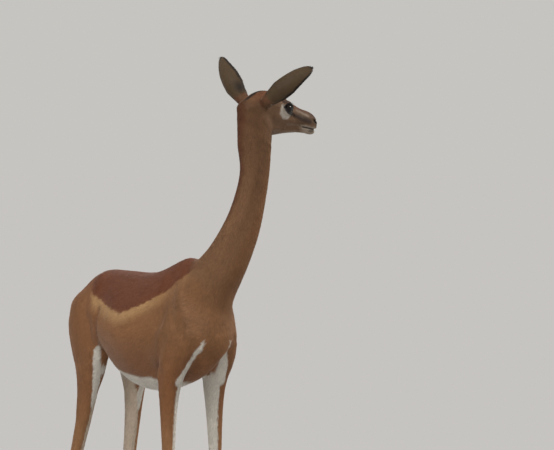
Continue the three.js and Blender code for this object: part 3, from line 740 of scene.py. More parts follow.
def write_markings(mesh, colours):
    layer = mesh.color_attributes.new("Markings", "FLOAT_COLOR", "POINT")
    full = np.concatenate([colours, np.ones((len(colours), 1))], axis=1)
    layer.data.foreach_set("color", full.astype(np.float32).ravel())


def closed_copy(nodes, swell=0.5 * MM):
    """Copies of the solids' nodes in one bmesh, each swollen a little so that neighbours overlap."""
    bm = bmesh.new()
    for name in nodes:
        bm.from_mesh(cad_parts[name].data)
    bmesh.ops.remove_doubles(bm, verts=bm.verts, dist=0.02 * MM)
    bm.normal_update()
    for vertex in bm.verts:
        vertex.co += vertex.normal * swell
    return bm


def mesh_of(name, bm):
    """The mesh of a bmesh, which it frees."""
    mesh = bpy.data.meshes.new(name)
    bm.to_mesh(mesh)
    bm.free()
    return mesh


def bmesh_of(mesh):
    """The bmesh of a mesh, which it removes."""
    bm = bmesh.new()
    bm.from_mesh(mesh)
    bpy.data.meshes.remove(mesh)
    return bm


def add_bmesh(target, other):
    """Copies one bmesh into another and frees it."""
    mesh = mesh_of("step", other)
    target.from_mesh(mesh)
    bpy.data.meshes.remove(mesh)


def through(bm, kind, **settings):
    """The mesh that one modifier makes of a bmesh, which it frees."""
    draft_mesh = mesh_of("draft", bm)
    draft = bpy.data.objects.new("draft", draft_mesh)
    bpy.context.scene.collection.objects.link(draft)
    modifier = draft.modifiers.new("step", kind)
    for name, value in settings.items():
        setattr(modifier, name, value)
    evaluated = draft.evaluated_get(bpy.context.evaluated_depsgraph_get())
    result = bpy.data.meshes.new_from_object(evaluated)
    bpy.data.objects.remove(draft)
    bpy.data.meshes.remove(draft_mesh)
    return result


def thinned(bm, count):
    """A bmesh brought down to about a count of triangles."""
    triangles = sum(len(face.verts) - 2 for face in bm.faces)
    return bmesh_of(through(bm, "DECIMATE", ratio=min(1.0, count / triangles)))


def flesh_tree():
    """A tree of the solids' faces, and the node that each face belongs to."""
    places, faces, owners = [], [], []
    for index, name in enumerate(FLESH):
        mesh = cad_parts[name].data
        mesh.calc_loop_triangles()
        start = len(places)
        places += [v.co.copy() for v in mesh.vertices]
        triangles = [tuple(start + i for i in t.vertices) for t in mesh.loop_triangles]
        faces += triangles
        owners += [index] * len(triangles)
    return BVHTree.FromPolygons(places, faces, all_triangles=True), np.array(owners)


def kinds_of(points):
    """Which node of flesh each point belongs to, as an index into FLESH."""
    tree, owners = flesh_tree()
    found = [tree.find_nearest(p)[2] for p in points.tolist()]
    return owners[found]


# The tail's line under its tuft: ahead of the rump, up, and its radius, in mm
TAIL_LINE = (
    (34, 880, 17), (8, 866, 15), (-12, 842, 11), (-24, 805, 9.5), (-30, 760, 8), (-31, 715, 5), (-31, 690, 2),
)


def tail_core():
    """The tail under its tuft: a tapering tube down the line of the tail."""
    low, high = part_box("tail")
    middle = (low.y + high.y) / 2
    bm = bmesh.new()
    ring = bmesh.ops.create_circle(bm, cap_ends=True, radius=1, segments=16)["verts"]
    face = ring[0].link_faces[0]
    for index, (ahead, up, radius) in enumerate(TAIL_LINE):
        if index:
            made = bmesh.ops.extrude_face_region(bm, geom=[face])["geom"]
            face = next(f for f in made if isinstance(f, bmesh.types.BMFace))
        for number, vertex in enumerate(face.verts):
            angle = 2 * math.pi * number / len(face.verts)
            vertex.co = Vector((
                RUMP_X + (ahead + radius * math.cos(angle)) * MM,
                middle + radius * math.sin(angle) * MM,
                up * MM,
            ))
    bmesh.ops.recalc_face_normals(bm, faces=bm.faces)
    return bm


def ear_point(name, along, share, inset):
    """A place on an ear's cup, for shares of its length and half arc. inset is how far inside its back."""
    root, axis, opening, across = (np.array(v) for v in ear_frame(name))
    radius = np.interp(along, EAR_SECTIONS[:, 0], EAR_SECTIONS[:, 1]) * MM
    spread = np.interp(along, EAR_SECTIONS[:, 0], EAR_SECTIONS[:, 2])
    taper = np.sqrt(np.clip(1 - np.clip((along - EAR_TIP) / (1 - EAR_TIP), 0, 1) ** 2, 0.0, 1))
    lean = share * spread * taper
    ahead = np.asarray(along) * EAR_LENGTH - EAR_SUNK
    side = (radius - inset) * np.sin(lean) + EAR_SWAY * np.sin(math.pi * np.clip(along, 0, 1))
    deep = radius - (radius - inset) * np.cos(lean) - ear_bend(along) - radius * 0.55
    return root + axis * ahead[..., None] + across * side[..., None] + opening * deep[..., None]


def ear_shell(name):
    """The cup of an ear as a closed shell: a grid rolled into the ear's sections, then made solid."""
    bm = bmesh.new()
    bmesh.ops.create_grid(bm, x_segments=44, y_segments=72, size=1)
    flat = np.array([vertex.co[:2] for vertex in bm.verts])
    along = np.sin((0.5 + 0.5 * flat[:, 1]) * math.pi / 2) ** 1.15 * 0.9995
    places = ear_point(name, along, flat[:, 0], 1.3 * MM)
    for vertex, place in zip(bm.verts, places):
        vertex.co = place
    bm.normal_update()
    bmesh.ops.solidify(bm, geom=bm.faces, thickness=EAR_WALL)
    bmesh.ops.recalc_face_normals(bm, faces=bm.faces)
    return bm


def ball(centre, radius):
    bm = bmesh.new()
    bmesh.ops.create_icosphere(bm, subdivisions=5, radius=radius, matrix=Matrix.Translation(centre))
    return bm


# Where the fine skin of the head meets the body's, and the way up the neck there
NECK_JOIN = Vector((0.764 + RUMP_X, 0.087 + MIDDLE_Y, 1.252))
NECK_JOIN_WAY = Vector((0.0, 0.03, 1.0)).normalized()


def keep_beyond(bm, point, way):
    """Keeps what lies beyond a plane, in the way given. Gives the edges of the cut."""
    geometry = bm.verts[:] + bm.edges[:] + bm.faces[:]
    cut = bmesh.ops.bisect_plane(bm, geom=geometry, plane_co=point, plane_no=way, clear_inner=True)
    return [edge for edge in cut["geom_cut"] if isinstance(edge, bmesh.types.BMEdge)]


def near_border(mesh, kinds, names, rounds):
    """1 where two of the named nodes meet, fading over as many edges as there are rounds."""
    ends = np.empty(len(mesh.edges) * 2, np.int32)
    mesh.edges.foreach_get("vertices", ends)
    first, second = ends.reshape(-1, 2).T
    counts = np.isin(kinds, [FLESH.index(name) for name in names])
    meets = (kinds[first] != kinds[second]) & counts[first] & counts[second]
    value = np.zeros((len(kinds), 1))
    value[first[meets]] = value[second[meets]] = 1
    mean = neighbour_mean(mesh)
    for _ in range(rounds):
        value = np.maximum(value, mean(value))
    return value[:, 0]


# Muscles that fill out the outline on each side: ahead of the rump, left of the middle, up, then half of the
# length, depth and width, and how steeply the front end rises, in degrees
MUSCLES = (
    (0.558, 0.061, 0.752, 0.090, 0.052, 0.037, 36),  # triceps
    (0.520, 0.066, 0.712, 0.036, 0.030, 0.022, 30),  # elbow
    (0.645, 0.048, 0.815, 0.085, 0.040, 0.034, -62),  # front of the shoulder
    (0.212, 0.060, 0.772, 0.060, 0.052, 0.037, 70),  # fold of the flank
    (0.046, 0.045, 0.826, 0.052, 0.036, 0.034, 45),  # point of the rump
)


# How far the body's skin is smoothed on each node, in mm. An upper leg starts from a cannon's value
BODY_REACH = {"torso": 11, "neck": 8, "head": 5, "tail": 3}
CANNON_REACH = 2.8
# The breast and the withers, where the neck leaves the trunk: ahead of the rump, up, the height of the
# place, and how much further it is smoothed, in mm
NECK_ROOT = ((0.70, 0.83, 0.06, 9), (0.63, 0.965, 0.04, 7))


def body_skin(sizes):
    """The skin of the trunk, neck, tail and legs, up to the join below the head."""
    bm = closed_copy([n for n in FLESH if n != "tail" and not n.startswith("ear")])
    add_bmesh(bm, tail_core())
    for ahead, left, up, long, deep, wide, rise in MUSCLES:
        for side in (1, -1):
            place = Vector((RUMP_X + ahead, MIDDLE_Y + side * left, up))
            turn = Euler((0, math.radians(-rise), 0))
            matrix = Matrix.LocRotScale(place, turn, Vector((long, wide, deep)))
            bmesh.ops.create_icosphere(bm, subdivisions=4, radius=1, matrix=matrix)
    mesh = through(bm, "REMESH", mode="VOXEL", voxel_size=sizes.body_voxel)
    points = corners(mesh)
    kinds = kinds_of(points)
    reach = np.array([BODY_REACH.get(name, CANNON_REACH) for name in FLESH])[kinds]
    upper = np.array([name.endswith("upper") for name in FLESH])[kinds]
    reach = np.where(upper, CANNON_REACH + 5.2 * ease(points[:, 2], 0.38, 0.66), reach)
    joined = ["torso", "neck"] + [f"{leg}_upper" for leg in LEGS]
    border = near_border(mesh, kinds, joined, 14)
    reach = reach + (7 + 8 * ease(points[:, 2], 0.68, 0.76)) * border
    ahead, _, up = in_body(points).T
    for place, height, tall, more in NECK_ROOT:
        reach = reach + more * np.exp(-(((ahead - place) / 0.05) ** 2) - ((up - height) / tall) ** 2)
    mean = neighbour_mean(mesh)
    for _ in range(12):
        reach = mean(reach[:, None])[:, 0]
    relax(mesh, reach * MM, sizes.body_voxel)
    model_body(mesh)
    return mesh


# Muscle and bone on each side of the body: a line of places (ahead of the rump, up), the width of the
# form's top and of its slope, and how far it stands out, in mm. The slope is as wide as a hand or a finger.
BODY_FORMS = (
    ([(0.600, 0.920), (0.640, 0.850), (0.676, 0.775)], 0.004, 0.022, 2.2),  # spine of the shoulder blade
    ([(0.555, 0.900), (0.560, 0.820), (0.545, 0.740)], 0.006, 0.030, -2.6),  # hollow behind the blade
    ([(0.688, 0.758), (0.700, 0.745)], 0.006, 0.030, 3.5),  # point of the shoulder
    ([(0.610, 0.790), (0.585, 0.730)], 0.016, 0.045, 3.8),  # triceps
    ([(0.553, 0.672), (0.560, 0.660)], 0.004, 0.016, 2.5),  # elbow
    ([(0.640, 0.740), (0.620, 0.700)], 0.004, 0.020, -2.0),  # between the shoulder and the arm
    ([(0.225, 0.850), (0.250, 0.820)], 0.012, 0.045, -3.2),  # hollow of the flank
    ([(0.150, 0.905), (0.170, 0.890)], 0.004, 0.024, 3.6),  # hip bone
    (THIGH_FRONT, 0.001, 0.015, -3.4),  # front edge of the thigh
    ([(0.180, 0.800), (0.175, 0.730)], 0.010, 0.035, 2.6),  # front of the thigh
    ([(0.080, 0.830), (0.105, 0.740)], 0.012, 0.045, 2.0),  # back of the thigh
    ([(0.045, 0.800), (0.070, 0.720), (0.100, 0.640)], 0.001, 0.012, -1.6),  # groove behind the thigh
    ([(0.168, 0.692), (0.172, 0.680)], 0.008, 0.028, 2.6),  # knee of the hind leg
    ([(0.110, 0.640), (0.080, 0.560)], 0.010, 0.030, 1.6),  # gaskin
    ([(0.300, 0.740), (0.330, 0.700)], 0.010, 0.060, -1.4),  # end of the ribs
)
SIDE_OF = {name: (1 if "left" in name else -1) for name in FLESH if "leg" in name}


def model_body(mesh):
    """Muscles and bones that show through the skin, in the places of BODY_FORMS."""
    points, normals = corners(mesh), normals_of(mesh)
    kinds = kinds_of(points)
    ahead, left, up = in_body(points).T
    side = np.array([SIDE_OF.get(name, 0) for name in FLESH])[kinds]
    side = np.where(side == 0, np.sign(left), side)
    outer = ease(side * normals[:, 1], 0.15, 0.65) * np.isin(kinds, [
        i for i, name in enumerate(FLESH) if name in ("torso", "neck") or name.endswith("upper")])
    flat = np.stack([ahead, up], axis=1)
    total = np.zeros(len(points))
    for path, width, slope, height in BODY_FORMS:
        total += near_stroke(flat, path, width, slope) * height
    press(points, normals, outer * total, MM)
    backward = (normals * neck_back(up)).sum(axis=1)
    on_neck = (kinds == FLESH.index("neck")) * ease(up, 0.86, 0.98) * (1 - ease(up, 1.20, 1.28))
    groove = np.exp(-(((backward + 0.55) / 0.20) ** 2)) - 0.6 * np.exp(-(((backward + 0.15) / 0.25) ** 2))
    press(points, normals, on_neck * groove, -1.8 * MM)
    foot = 1 - ease(up, 0.030, 0.042)
    points[:, 2] -= foot * 7 * MM
    place_corners(mesh, points)
    cannon = np.isin(kinds, [i for i, name in enumerate(FLESH) if name.endswith("lower")])
    relax(mesh, np.where(cannon, 1.2, 3.0) * MM, bpy.context.scene.gerenuk_sizes.body_voxel)


def head_skin(sizes):
    """The finer skin of the head, the ears and the top of the neck."""
    bm = closed_copy(["head", "neck"])
    rim = keep_beyond(bm, NECK_JOIN - NECK_JOIN_WAY * 20 * MM, NECK_JOIN_WAY)
    bmesh.ops.holes_fill(bm, edges=rim)
    for name, side in (("ear_left", 1), ("ear_right", -1)):
        add_bmesh(bm, ear_shell(name))
        root, axis = ear_frame(name)[:2]
        add_bmesh(bm, ball(root + axis * 7 * MM, EAR_BULB))
        add_bmesh(bm, ball(Vector(eye_frame(side)[0]), EYE_RADIUS + 2.0 * MM))
    mesh = through(bm, "REMESH", mode="VOXEL", voxel_size=sizes.head_voxel)
    points = corners(mesh)
    x, y, z = in_head(points).T / MM
    kinds = kinds_of(points)
    reach = np.where((x < 20) & (z < 0), 6.5, 4.0)
    reach = reach + 6 * near_border(mesh, kinds, ["neck", "head"], 24)
    jaw_angle = np.exp(-((x - 22) ** 2 / 900 + (z + 26) ** 2 / 1600)) * ease(np.abs(y), 12, 24)
    reach = reach + 8 * jaw_angle
    temple = np.stack([x - 46, np.abs(y) - 31, z - 44], axis=1)
    reach = reach + 6 * np.exp(-((np.linalg.norm(temple, axis=1) / 17) ** 2))
    for name, side in (("ear_left", 1), ("ear_right", -1)):
        along = in_ear(points, name)[:, 0]
        near = np.linalg.norm(points - np.array(ear_frame(name)[0]), axis=1)
        is_ear = ease(along, 0.08, 0.20) * (near < EAR_LENGTH * 1.1) * (z > 20) * (y * side > 20)
        reach = reach * (1 - is_ear) + 1.1 * is_ear
        root = np.exp(-((near / 0.026) ** 2)) * (1 - is_ear)
        reach = reach + 3.0 * root
        outside = in_eye(points, side)[3]
        reach = np.where((y * side > 8), reach * (0.35 + 0.65 * ease(outside, 0.5, 1.1)), reach)
    reach = reach * (1 - 0.5 * ease(x, 160, 185))
    mean = neighbour_mean(mesh)
    for _ in range(6):
        reach = mean(reach[:, None])[:, 0]
    relax(mesh, reach * MM, sizes.head_voxel)
    return mesh


def press(places, normals, share, depth):
    """Moves points along their normals: out for a positive depth, in for a negative one."""
    places += normals * (share * depth)[:, None]


# The line of the mouth, as x and z in the head's frame, in mm
MOUTH = [(166, -13.5), (185, -12.6), (205, -12.4), (226, -12.8)]
# Relief on both sides of the face: its line, the width of the form's top and of its slope, how far from the
# middle it starts and is full, and how far it stands out, all in mm
FACE_FORMS = (
    ([(168, -9.0), (190, -8.0), (212, -8.0)], 0.8, 3.4, (3, 8), 1.2),  # upper lip
    ([(168, -17.5), (190, -17), (208, -17)], 0.8, 3.4, (3, 8), 1.0),  # lower lip
    ([(201, 10), (210, 6.5), (213, 3)], 0.4, 2.4, (5, 8), -3.6),  # nostril
    ([(197, 14), (210, 12), (217, 5)], 0.6, 3.0, (5, 9), 1.3),  # wing of the nostril
    ([(120, 11), (125, 9)], 0.8, 4.0, (15, 22), -2.2),  # gland before the eye
    ([(62, -4), (100, -6), (128, -8)], 2, 10, (20, 30), 1.6),  # cheekbone
    ([(28, -18), (52, -36), (90, -38)], 3, 12, (14, 24), 1.8),  # jaw
    ([(118, -24), (150, -19)], 3, 9, (12, 18), -1.8),  # hollow of the cheek
    ([(122, 26), (160, 16)], 2, 8, (8, 14), -1.4),  # side of the bridge
)


def carve_face(mesh):
    """Nose, mouth, lids and the relief of the cheek, in the head's own frame."""
    points = corners(mesh)
    x, y, z = in_head(points).T / MM
    raised = ease(x, 150, 202) * ease(z, -6, 14) * 5.0  # the bridge of the nose
    raised += 4.5 * np.exp(-(((x - 14) / 30) ** 2) - (y / 26) ** 2) * ease(z, 25, 45)  # the crown
    chin = ease(x, 176, 200) * (1 - ease(z, -19, -14)) * 5.0
    points += HEAD_UP * (raised * MM)[:, None] + HEAD_AHEAD * (chin * MM)[:, None]
    place_corners(mesh, points)

    points, normals = corners(mesh), normals_of(mesh)
    x, y, z = in_head(points).T / MM
    side_view = np.stack([x, z], axis=1)
    press(points, normals, near_stroke(side_view, MOUTH, 0.3, 2.3) * ease(x, 161, 168), -2.2 * MM)
    for path, width, slope, beside, height in FACE_FORMS:
        relief = near_stroke(side_view, path, width, slope) * ease(np.abs(y), *beside)
        press(points, normals, relief, height * MM)
    for side in (1, -1):
        ahead, above, away, outside = in_eye(points, side)
        is_near = ease(away, -4, 4) * (np.hypot(ahead, above) < EYE_REACH)
        crease = np.exp(-(((outside - 0.42) / 0.10) ** 2)) * ease(above, 0, 5)
        fold = np.exp(-(((outside - 0.22) / 0.10) ** 2)) * ease(above, -3, 3)
        under = np.exp(-(((outside - 0.45) / 0.12) ** 2)) * ease(-above, 3, 8)
        press(points, normals, (0.9 * fold - 1.3 * crease - 0.8 * under) * is_near, MM)
        inside = (1 - ease(outside, 0.0, 0.09)) * ease(away, 4, 8)
        way = points - eye_frame(side)[0]
        distance = np.linalg.norm(way, axis=1)
        goal = np.minimum(distance, EYE_RADIUS - 2.6 * MM)
        points += way * (inside * (goal / np.maximum(distance, 1e-6) - 1))[:, None]
    place_corners(mesh, points)


# The finished skin: arrays of its vertices and triangles, the way its hair lies, and a tree of its faces
Skin = namedtuple("Skin", "points normals kinds triangles lie tree")


def lie_of_coat(mesh, points, normals, kinds):
    """The way the hair lies at each vertex: back on the trunk, down neck and legs, and out along the ears."""
    ways = np.zeros((len(points), 3))
    for index, name in enumerate(FLESH):
        chosen = kinds == index
        if name == "torso":
            ways[chosen] = (-1, 0, 0)
            ways[chosen, 2] = -0.55 * np.abs(normals[chosen, 1])
        elif name == "neck":
            ways[chosen] = neck_down(points[chosen, 2])
        elif name == "head":
            x, _, z = in_head(points[chosen]).T / MM
            back = -HEAD_AHEAD + 0.15 * ease(z, -10, 40)[:, None] * HEAD_UP
            fall = 1 - ease(x - 0.6 * np.minimum(z, 0), -20, 55)
            ways[chosen] = back + (neck_down(points[chosen, 2]) - back) * fall[:, None]
        elif name.startswith("ear"):
            ways[chosen] = np.array(ear_frame(name)[1])
        elif name.startswith("hind") and name.endswith("upper"):
            ways[chosen] = (-0.5, 0, -1)
        elif name.startswith("fore") and name.endswith("upper"):
            ways[chosen] = (-0.35, 0, -1)
        else:
            ways[chosen] = (-0.08, 0, -1)
    ways = unit(ways)
    mean = neighbour_mean(mesh)
    for _ in range(30):
        ways = mean(ways)
    ways -= normals * (ways * normals).sum(axis=1, keepdims=True)
    return unit(ways)


# Hair
Hairs = namedtuple("Hairs", "root along up length width thick rise droop colour chart")
PATCH = 0.0015  # half of a tuft's patch on its map


def hair_mesh(name, hairs, rings):
    """Closed, flat, tapering tufts, each with a ridge along its upper side, as one mesh.

    There are tens of thousands, too many for operators, so all of them are filled in from one tuft's faces.
    """
    count = len(hairs.root)
    size = hairs.length[:, None]
    side = np.cross(hairs.up, hairs.along)
    shares = [0.42] if rings == 1 else np.linspace(0.06, 0.86, rings)

    def middle(t):
        rise = hairs.up * (hairs.rise[:, None] * t)
        return hairs.root + size * (hairs.along * t + rise + DOWN * (hairs.droop[:, None] * t * t))

    points = [hairs.root - hairs.up * hairs.thick[:, None] - hairs.along * size * 0.05]
    ways = [hairs.up]
    # Painted light and shade on each tuft: darker at its root and on its sides, lighter on its ridge and
    # lightest at its tip
    shade = [0.80]
    chart = [(0.0, -PATCH)]
    for t in shares:
        fat = math.sqrt(1 - t * t) if rings == 1 else (1 - t) ** 0.6
        half = side * (hairs.width / 2 * fat)[:, None]
        place = middle(t)
        points += [place + half, place - half, place + hairs.up * (hairs.thick * fat)[:, None]]
        ways += [unit(hairs.up + 0.45 * side), unit(hairs.up - 0.45 * side), hairs.up]
        shade += [0.96, 0.96, 1.02]
        chart += [(share * PATCH * fat, PATCH * (2 * t - 1)) for share in (-1, 1, 0)]
    points.append(middle(1.0))
    ways.append(unit(hairs.up + 0.3 * hairs.along))
    shade.append(1.10)
    chart.append((0.0, PATCH))

    each = len(points)
    faces = [(0, 3, 1), (0, 2, 3), (0, 1, 2)]
    for ring in range(rings - 1):
        left, right, ridge = (1 + 3 * ring + i for i in range(3))
        for p, q in ((left, ridge), (ridge, right), (right, left)):
            faces += [(p, q, q + 3), (p, q + 3, p + 3)]
    left, right, ridge, tip = (each - 4, each - 3, each - 2, each - 1)
    faces += [(tip, left, ridge), (tip, ridge, right), (tip, right, left)]
    faces = (np.array(faces)[None] + each * np.arange(count)[:, None, None]).reshape(-1, 3)

    mesh = bpy.data.meshes.new(name)
    mesh.vertices.add(each * count)
    mesh.vertices.foreach_set("co", np.stack(points, axis=1).astype(np.float32).ravel())
    mesh.loops.add(faces.size)
    mesh.polygons.add(len(faces))
    mesh.polygons.foreach_set("loop_start", np.arange(0, faces.size, 3, dtype=np.int32))
    mesh.loops.foreach_set("vertex_index", faces.astype(np.int32).ravel())
    mesh.update(calc_edges=True)
    # Each tuft's colour, times the painted light and shade at each of its points
    colours = hairs.colour[:, None] * np.array(shade)[None, :, None]
    write_markings(mesh, np.clip(colours.reshape(-1, 3), 0, 1))
    layer = mesh.uv_layers.new(name="OFBake")
    spots = (hairs.chart[:, None] + np.array(chart)[None]).reshape(-1, 2)
    layer.data.foreach_set("uv", spots[faces.ravel()].astype(np.float32).ravel())
    mesh.polygons.foreach_set("use_smooth", np.ones(len(faces), bool))
    mesh.normals_split_custom_set_from_vertices(np.stack(ways, axis=1).reshape(-1, 3).astype(np.float32))
    return mesh


def chart_places(points, normals, axis, two_sided):
    """An unwrap of a part round its own axis: the turn round it and the way along it, both from 0 to 1."""
    axis = np.array(Vector(axis).normalized())
    across = unit(np.cross(axis, (0.31, 0.95, 0.05)))
    third = np.cross(axis, across)
    along = points @ axis
    flat = np.stack([points @ across, points @ third], axis=1)
    steps = np.linspace(along.min(), along.max(), 13)
    slot = np.clip(np.digitize(along, steps) - 1, 0, 11)
    filled = [i for i in range(12) if (slot == i).any()]
    middles = np.array([flat[slot == i].mean(axis=0) for i in filled])
    heights = np.array([along[slot == i].mean() for i in filled])
    away = flat - np.stack([np.interp(along, heights, middles[:, i]) for i in range(2)], axis=1)
    turn = (np.arctan2(away[:, 1], away[:, 0]) / (2 * math.pi)) % 1
    if two_sided:
        facing = (normals @ across) * away[:, 0] + (normals @ third) * away[:, 1]
        turn = 0.5 * turn + np.where(facing < 0, 0.5, 0.0)
    spread = np.stack([turn, (along - steps[0]) / (steps[-1] - steps[0])], axis=1)
    return 0.01 + 0.98 * spread


def grow_hair(name, slot, rings, axis, root, along, up, colour, two_sided=False, **shape):
    """Adds a piece of tufts. Their colour and shape are given once for all of them, or for each."""
    shape = {key: np.broadcast_to(value, len(root)) for key, value in shape.items()}
    chart = chart_places(root, up, axis, two_sided)
    colour = np.broadcast_to(colour, (len(root), 3))
    hairs = Hairs(root=root, along=along, up=up, colour=colour, chart=chart, **shape)
    linked(name, hair_mesh(name, hairs, rings), hair_material())


def scatter(skin, chosen, spacing, rng):
    """Even random roots on chosen triangles of the skin: places, normals, lies of the hair and nodes."""
    triangles = skin.triangles[chosen]
    a, b, c = (skin.points[triangles[:, i]] for i in range(3))
    area = np.linalg.norm(np.cross(b - a, c - a), axis=1) / 2
    total = np.cumsum(area)
    count = int(total[-1] / spacing**2)
    stops = (np.arange(count) + rng.random(count)) * (total[-1] / count)
    owner = np.minimum(np.searchsorted(total, stops), len(triangles) - 1)
    first, second = np.sqrt(rng.random(count)), rng.random(count)
    shares = np.stack([1 - first, first * (1 - second), first * second], axis=1)

    def blend(values):
        return (values[triangles[owner]] * shares[:, :, None]).sum(axis=1)

    points, normals = blend(skin.points), unit(blend(skin.normals))
    lie = blend(skin.lie)
    lie = unit(lie - normals * (lie * normals).sum(axis=1, keepdims=True))
    return points, normals, lie, skin.kinds[triangles[owner, 0]]


SHARED = {}  # what the skin's operator leaves for the operators that come after it
BODY_TRIANGLES, HEAD_TRIANGLES = 84000, 108000
SEAM_REACH = 8 * MM  # how far from the join of body and head the skin is smoothed again


class GERENUK_OT_skin(Operator):
    """Makes one skin over the solids of flesh"""

    bl_idname = "gerenuk.skin"
    bl_label = "Skin"

    def execute(self, context):
        sizes = context.scene.gerenuk_sizes
        body = bmesh_of(body_skin(sizes))
        keep_beyond(body, NECK_JOIN, -NECK_JOIN_WAY)
        body = thinned(body, BODY_TRIANGLES)
        head_mesh = head_skin(sizes)
        carve_face(head_mesh)
        head = bmesh_of(head_mesh)
        keep_beyond(head, NECK_JOIN + NECK_JOIN_WAY * 2 * MM, NECK_JOIN_WAY)
        head = thinned(head, HEAD_TRIANGLES)
        add_bmesh(body, head)
        rims = [edge for edge in body.edges if edge.is_boundary]
        bmesh.ops.bridge_loops(body, edges=rims)
        bmesh.ops.triangulate(body, faces=[face for face in body.faces if len(face.verts) > 4])
        seam = [v for v in body.verts if abs((v.co - NECK_JOIN).dot(NECK_JOIN_WAY)) < SEAM_REACH]
        all_ways = {"use_axis_x": True, "use_axis_y": True, "use_axis_z": True}
        for _ in range(6):
            bmesh.ops.smooth_vert(body, verts=seam, factor=0.5, **all_ways)
        bmesh.ops.recalc_face_normals(body, faces=body.faces)
        mesh = mesh_of("skin", body)
        points, normals = corners(mesh), normals_of(mesh)
        kinds = kinds_of(points)
        # Halves of the coat's depth by which the skin is set in, and none at the lids
        depth = np.array([0.4 if n.startswith("ear") else 1.0 if n == "head" else 1.5 for n in FLESH])[kinds]
        for side in (1, -1):
            ahead, above, out, outside = in_eye(points, side)
            is_lid = (out > -4) & (np.hypot(ahead, above) < EYE_REACH)
            depth = depth * np.where(is_lid, ease(outside, 0.2, 0.8), 1)
        mean = neighbour_mean(mesh)
        for _ in range(16):
            depth = mean(depth[:, None])[:, 0]
        points -= normals * (depth * sizes.coat_depth / 2)[:, None]
        place_corners(mesh, points)
        normals = normals_of(mesh)
        write_markings(mesh, markings(points, normals, kinds))
        skin = linked("skin", mesh, skin_material())
        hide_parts(*FLESH)

        mesh.calc_loop_triangles()
        triangles = np.empty(len(mesh.loop_triangles) * 3, np.int32)
        mesh.loop_triangles.foreach_get("vertices", triangles)
        lie = lie_of_coat(mesh, points, normals, kinds)
        triangles = triangles.reshape(-1, 3)
        tree = BVHTree.FromPolygons(points.tolist(), triangles.tolist(), all_triangles=True)
        SHARED["skin"] = Skin(points, normals, kinds, triangles, lie, tree)
        return {"FINISHED"}


def hair_style(name, sizes):
    """Length, width, spacing and lift of the hair on a node. Width and spacing are in mm, lift is a slope."""
    if name == "torso":
        return sizes.body_hair, 1.7, 2.65, 0.06
    if name == "neck":
        return sizes.neck_hair, 1.4, 2.25, 0.06
    if name == "head":
        return sizes.face_hair, 0.85, 1.42, 0.09
    if name.startswith("ear"):
        return sizes.ear_hair, 0.75, 1.3, 0.07
    if name == "tail":
        return sizes.body_hair, 1.7, 2.0, 0.12
    if name.endswith("upper"):
        return sizes.body_hair * 0.85, 1.6, 2.5, 0.06
    return sizes.leg_hair, 1.1, 1.9, 0.06


def bare(points):
    """True where no hair grows: on and between the lids, on the nose, in the mouth and on all the horn."""
    x, y, z = in_head(points).T / MM
    is_face = (x > -60) & (x < 240) & (np.abs(y) < 60) & (z > -80)
    result = is_face & (x + 0.15 * z > 209) & (z > -8) & (z < 11) & (np.abs(y) - 0.25 * z < 7)
    result |= is_face & (np.abs(z + 13) < 2.4) & (x > 165)
    result |= is_face & (near_stroke(np.stack([x, z], axis=1), NOSTRIL, 3, 0.5) > 0.5) & (np.abs(y) > 5)
    for side in (1, -1):
        ahead, above, out, outside = in_eye(points, side)
        result |= (outside < 0.22) & (out > -4) & (np.hypot(ahead, above) < EYE_REACH)
    for place in dewclaws():
        result |= np.linalg.norm((points - place) / (1, 0.8, 1), axis=1) < 8.5 * MM
    return result | (points[:, 2] < 30 * MM)


def dewclaws():
    """The places of the eight dewclaws, 8 mm to each side of the back of the lower legs' solids."""
    places = []
    for leg in LEGS:
        spots = corners(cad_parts[f"{leg}_lower"].data)
        spots = spots[np.abs(spots[:, 2] - 0.080) < 0.010]
        back, middle = spots[:, 0].min(), (spots[:, 1].min() + spots[:, 1].max()) / 2
        places += [np.array([back + 9.5 * MM, middle + side * 8 * MM, 0.079]) for side in (1, -1)]
    return places


def chart_axis(name):
    """The way along a node, round which its hair is unwrapped."""
    if name == "torso":
        return (1, 0, 0)
    if name == "head":
        return HEAD_TURN.col[0]
    if name.startswith("ear"):
        return ear_frame(name)[1]
    return (0, 0, 1)


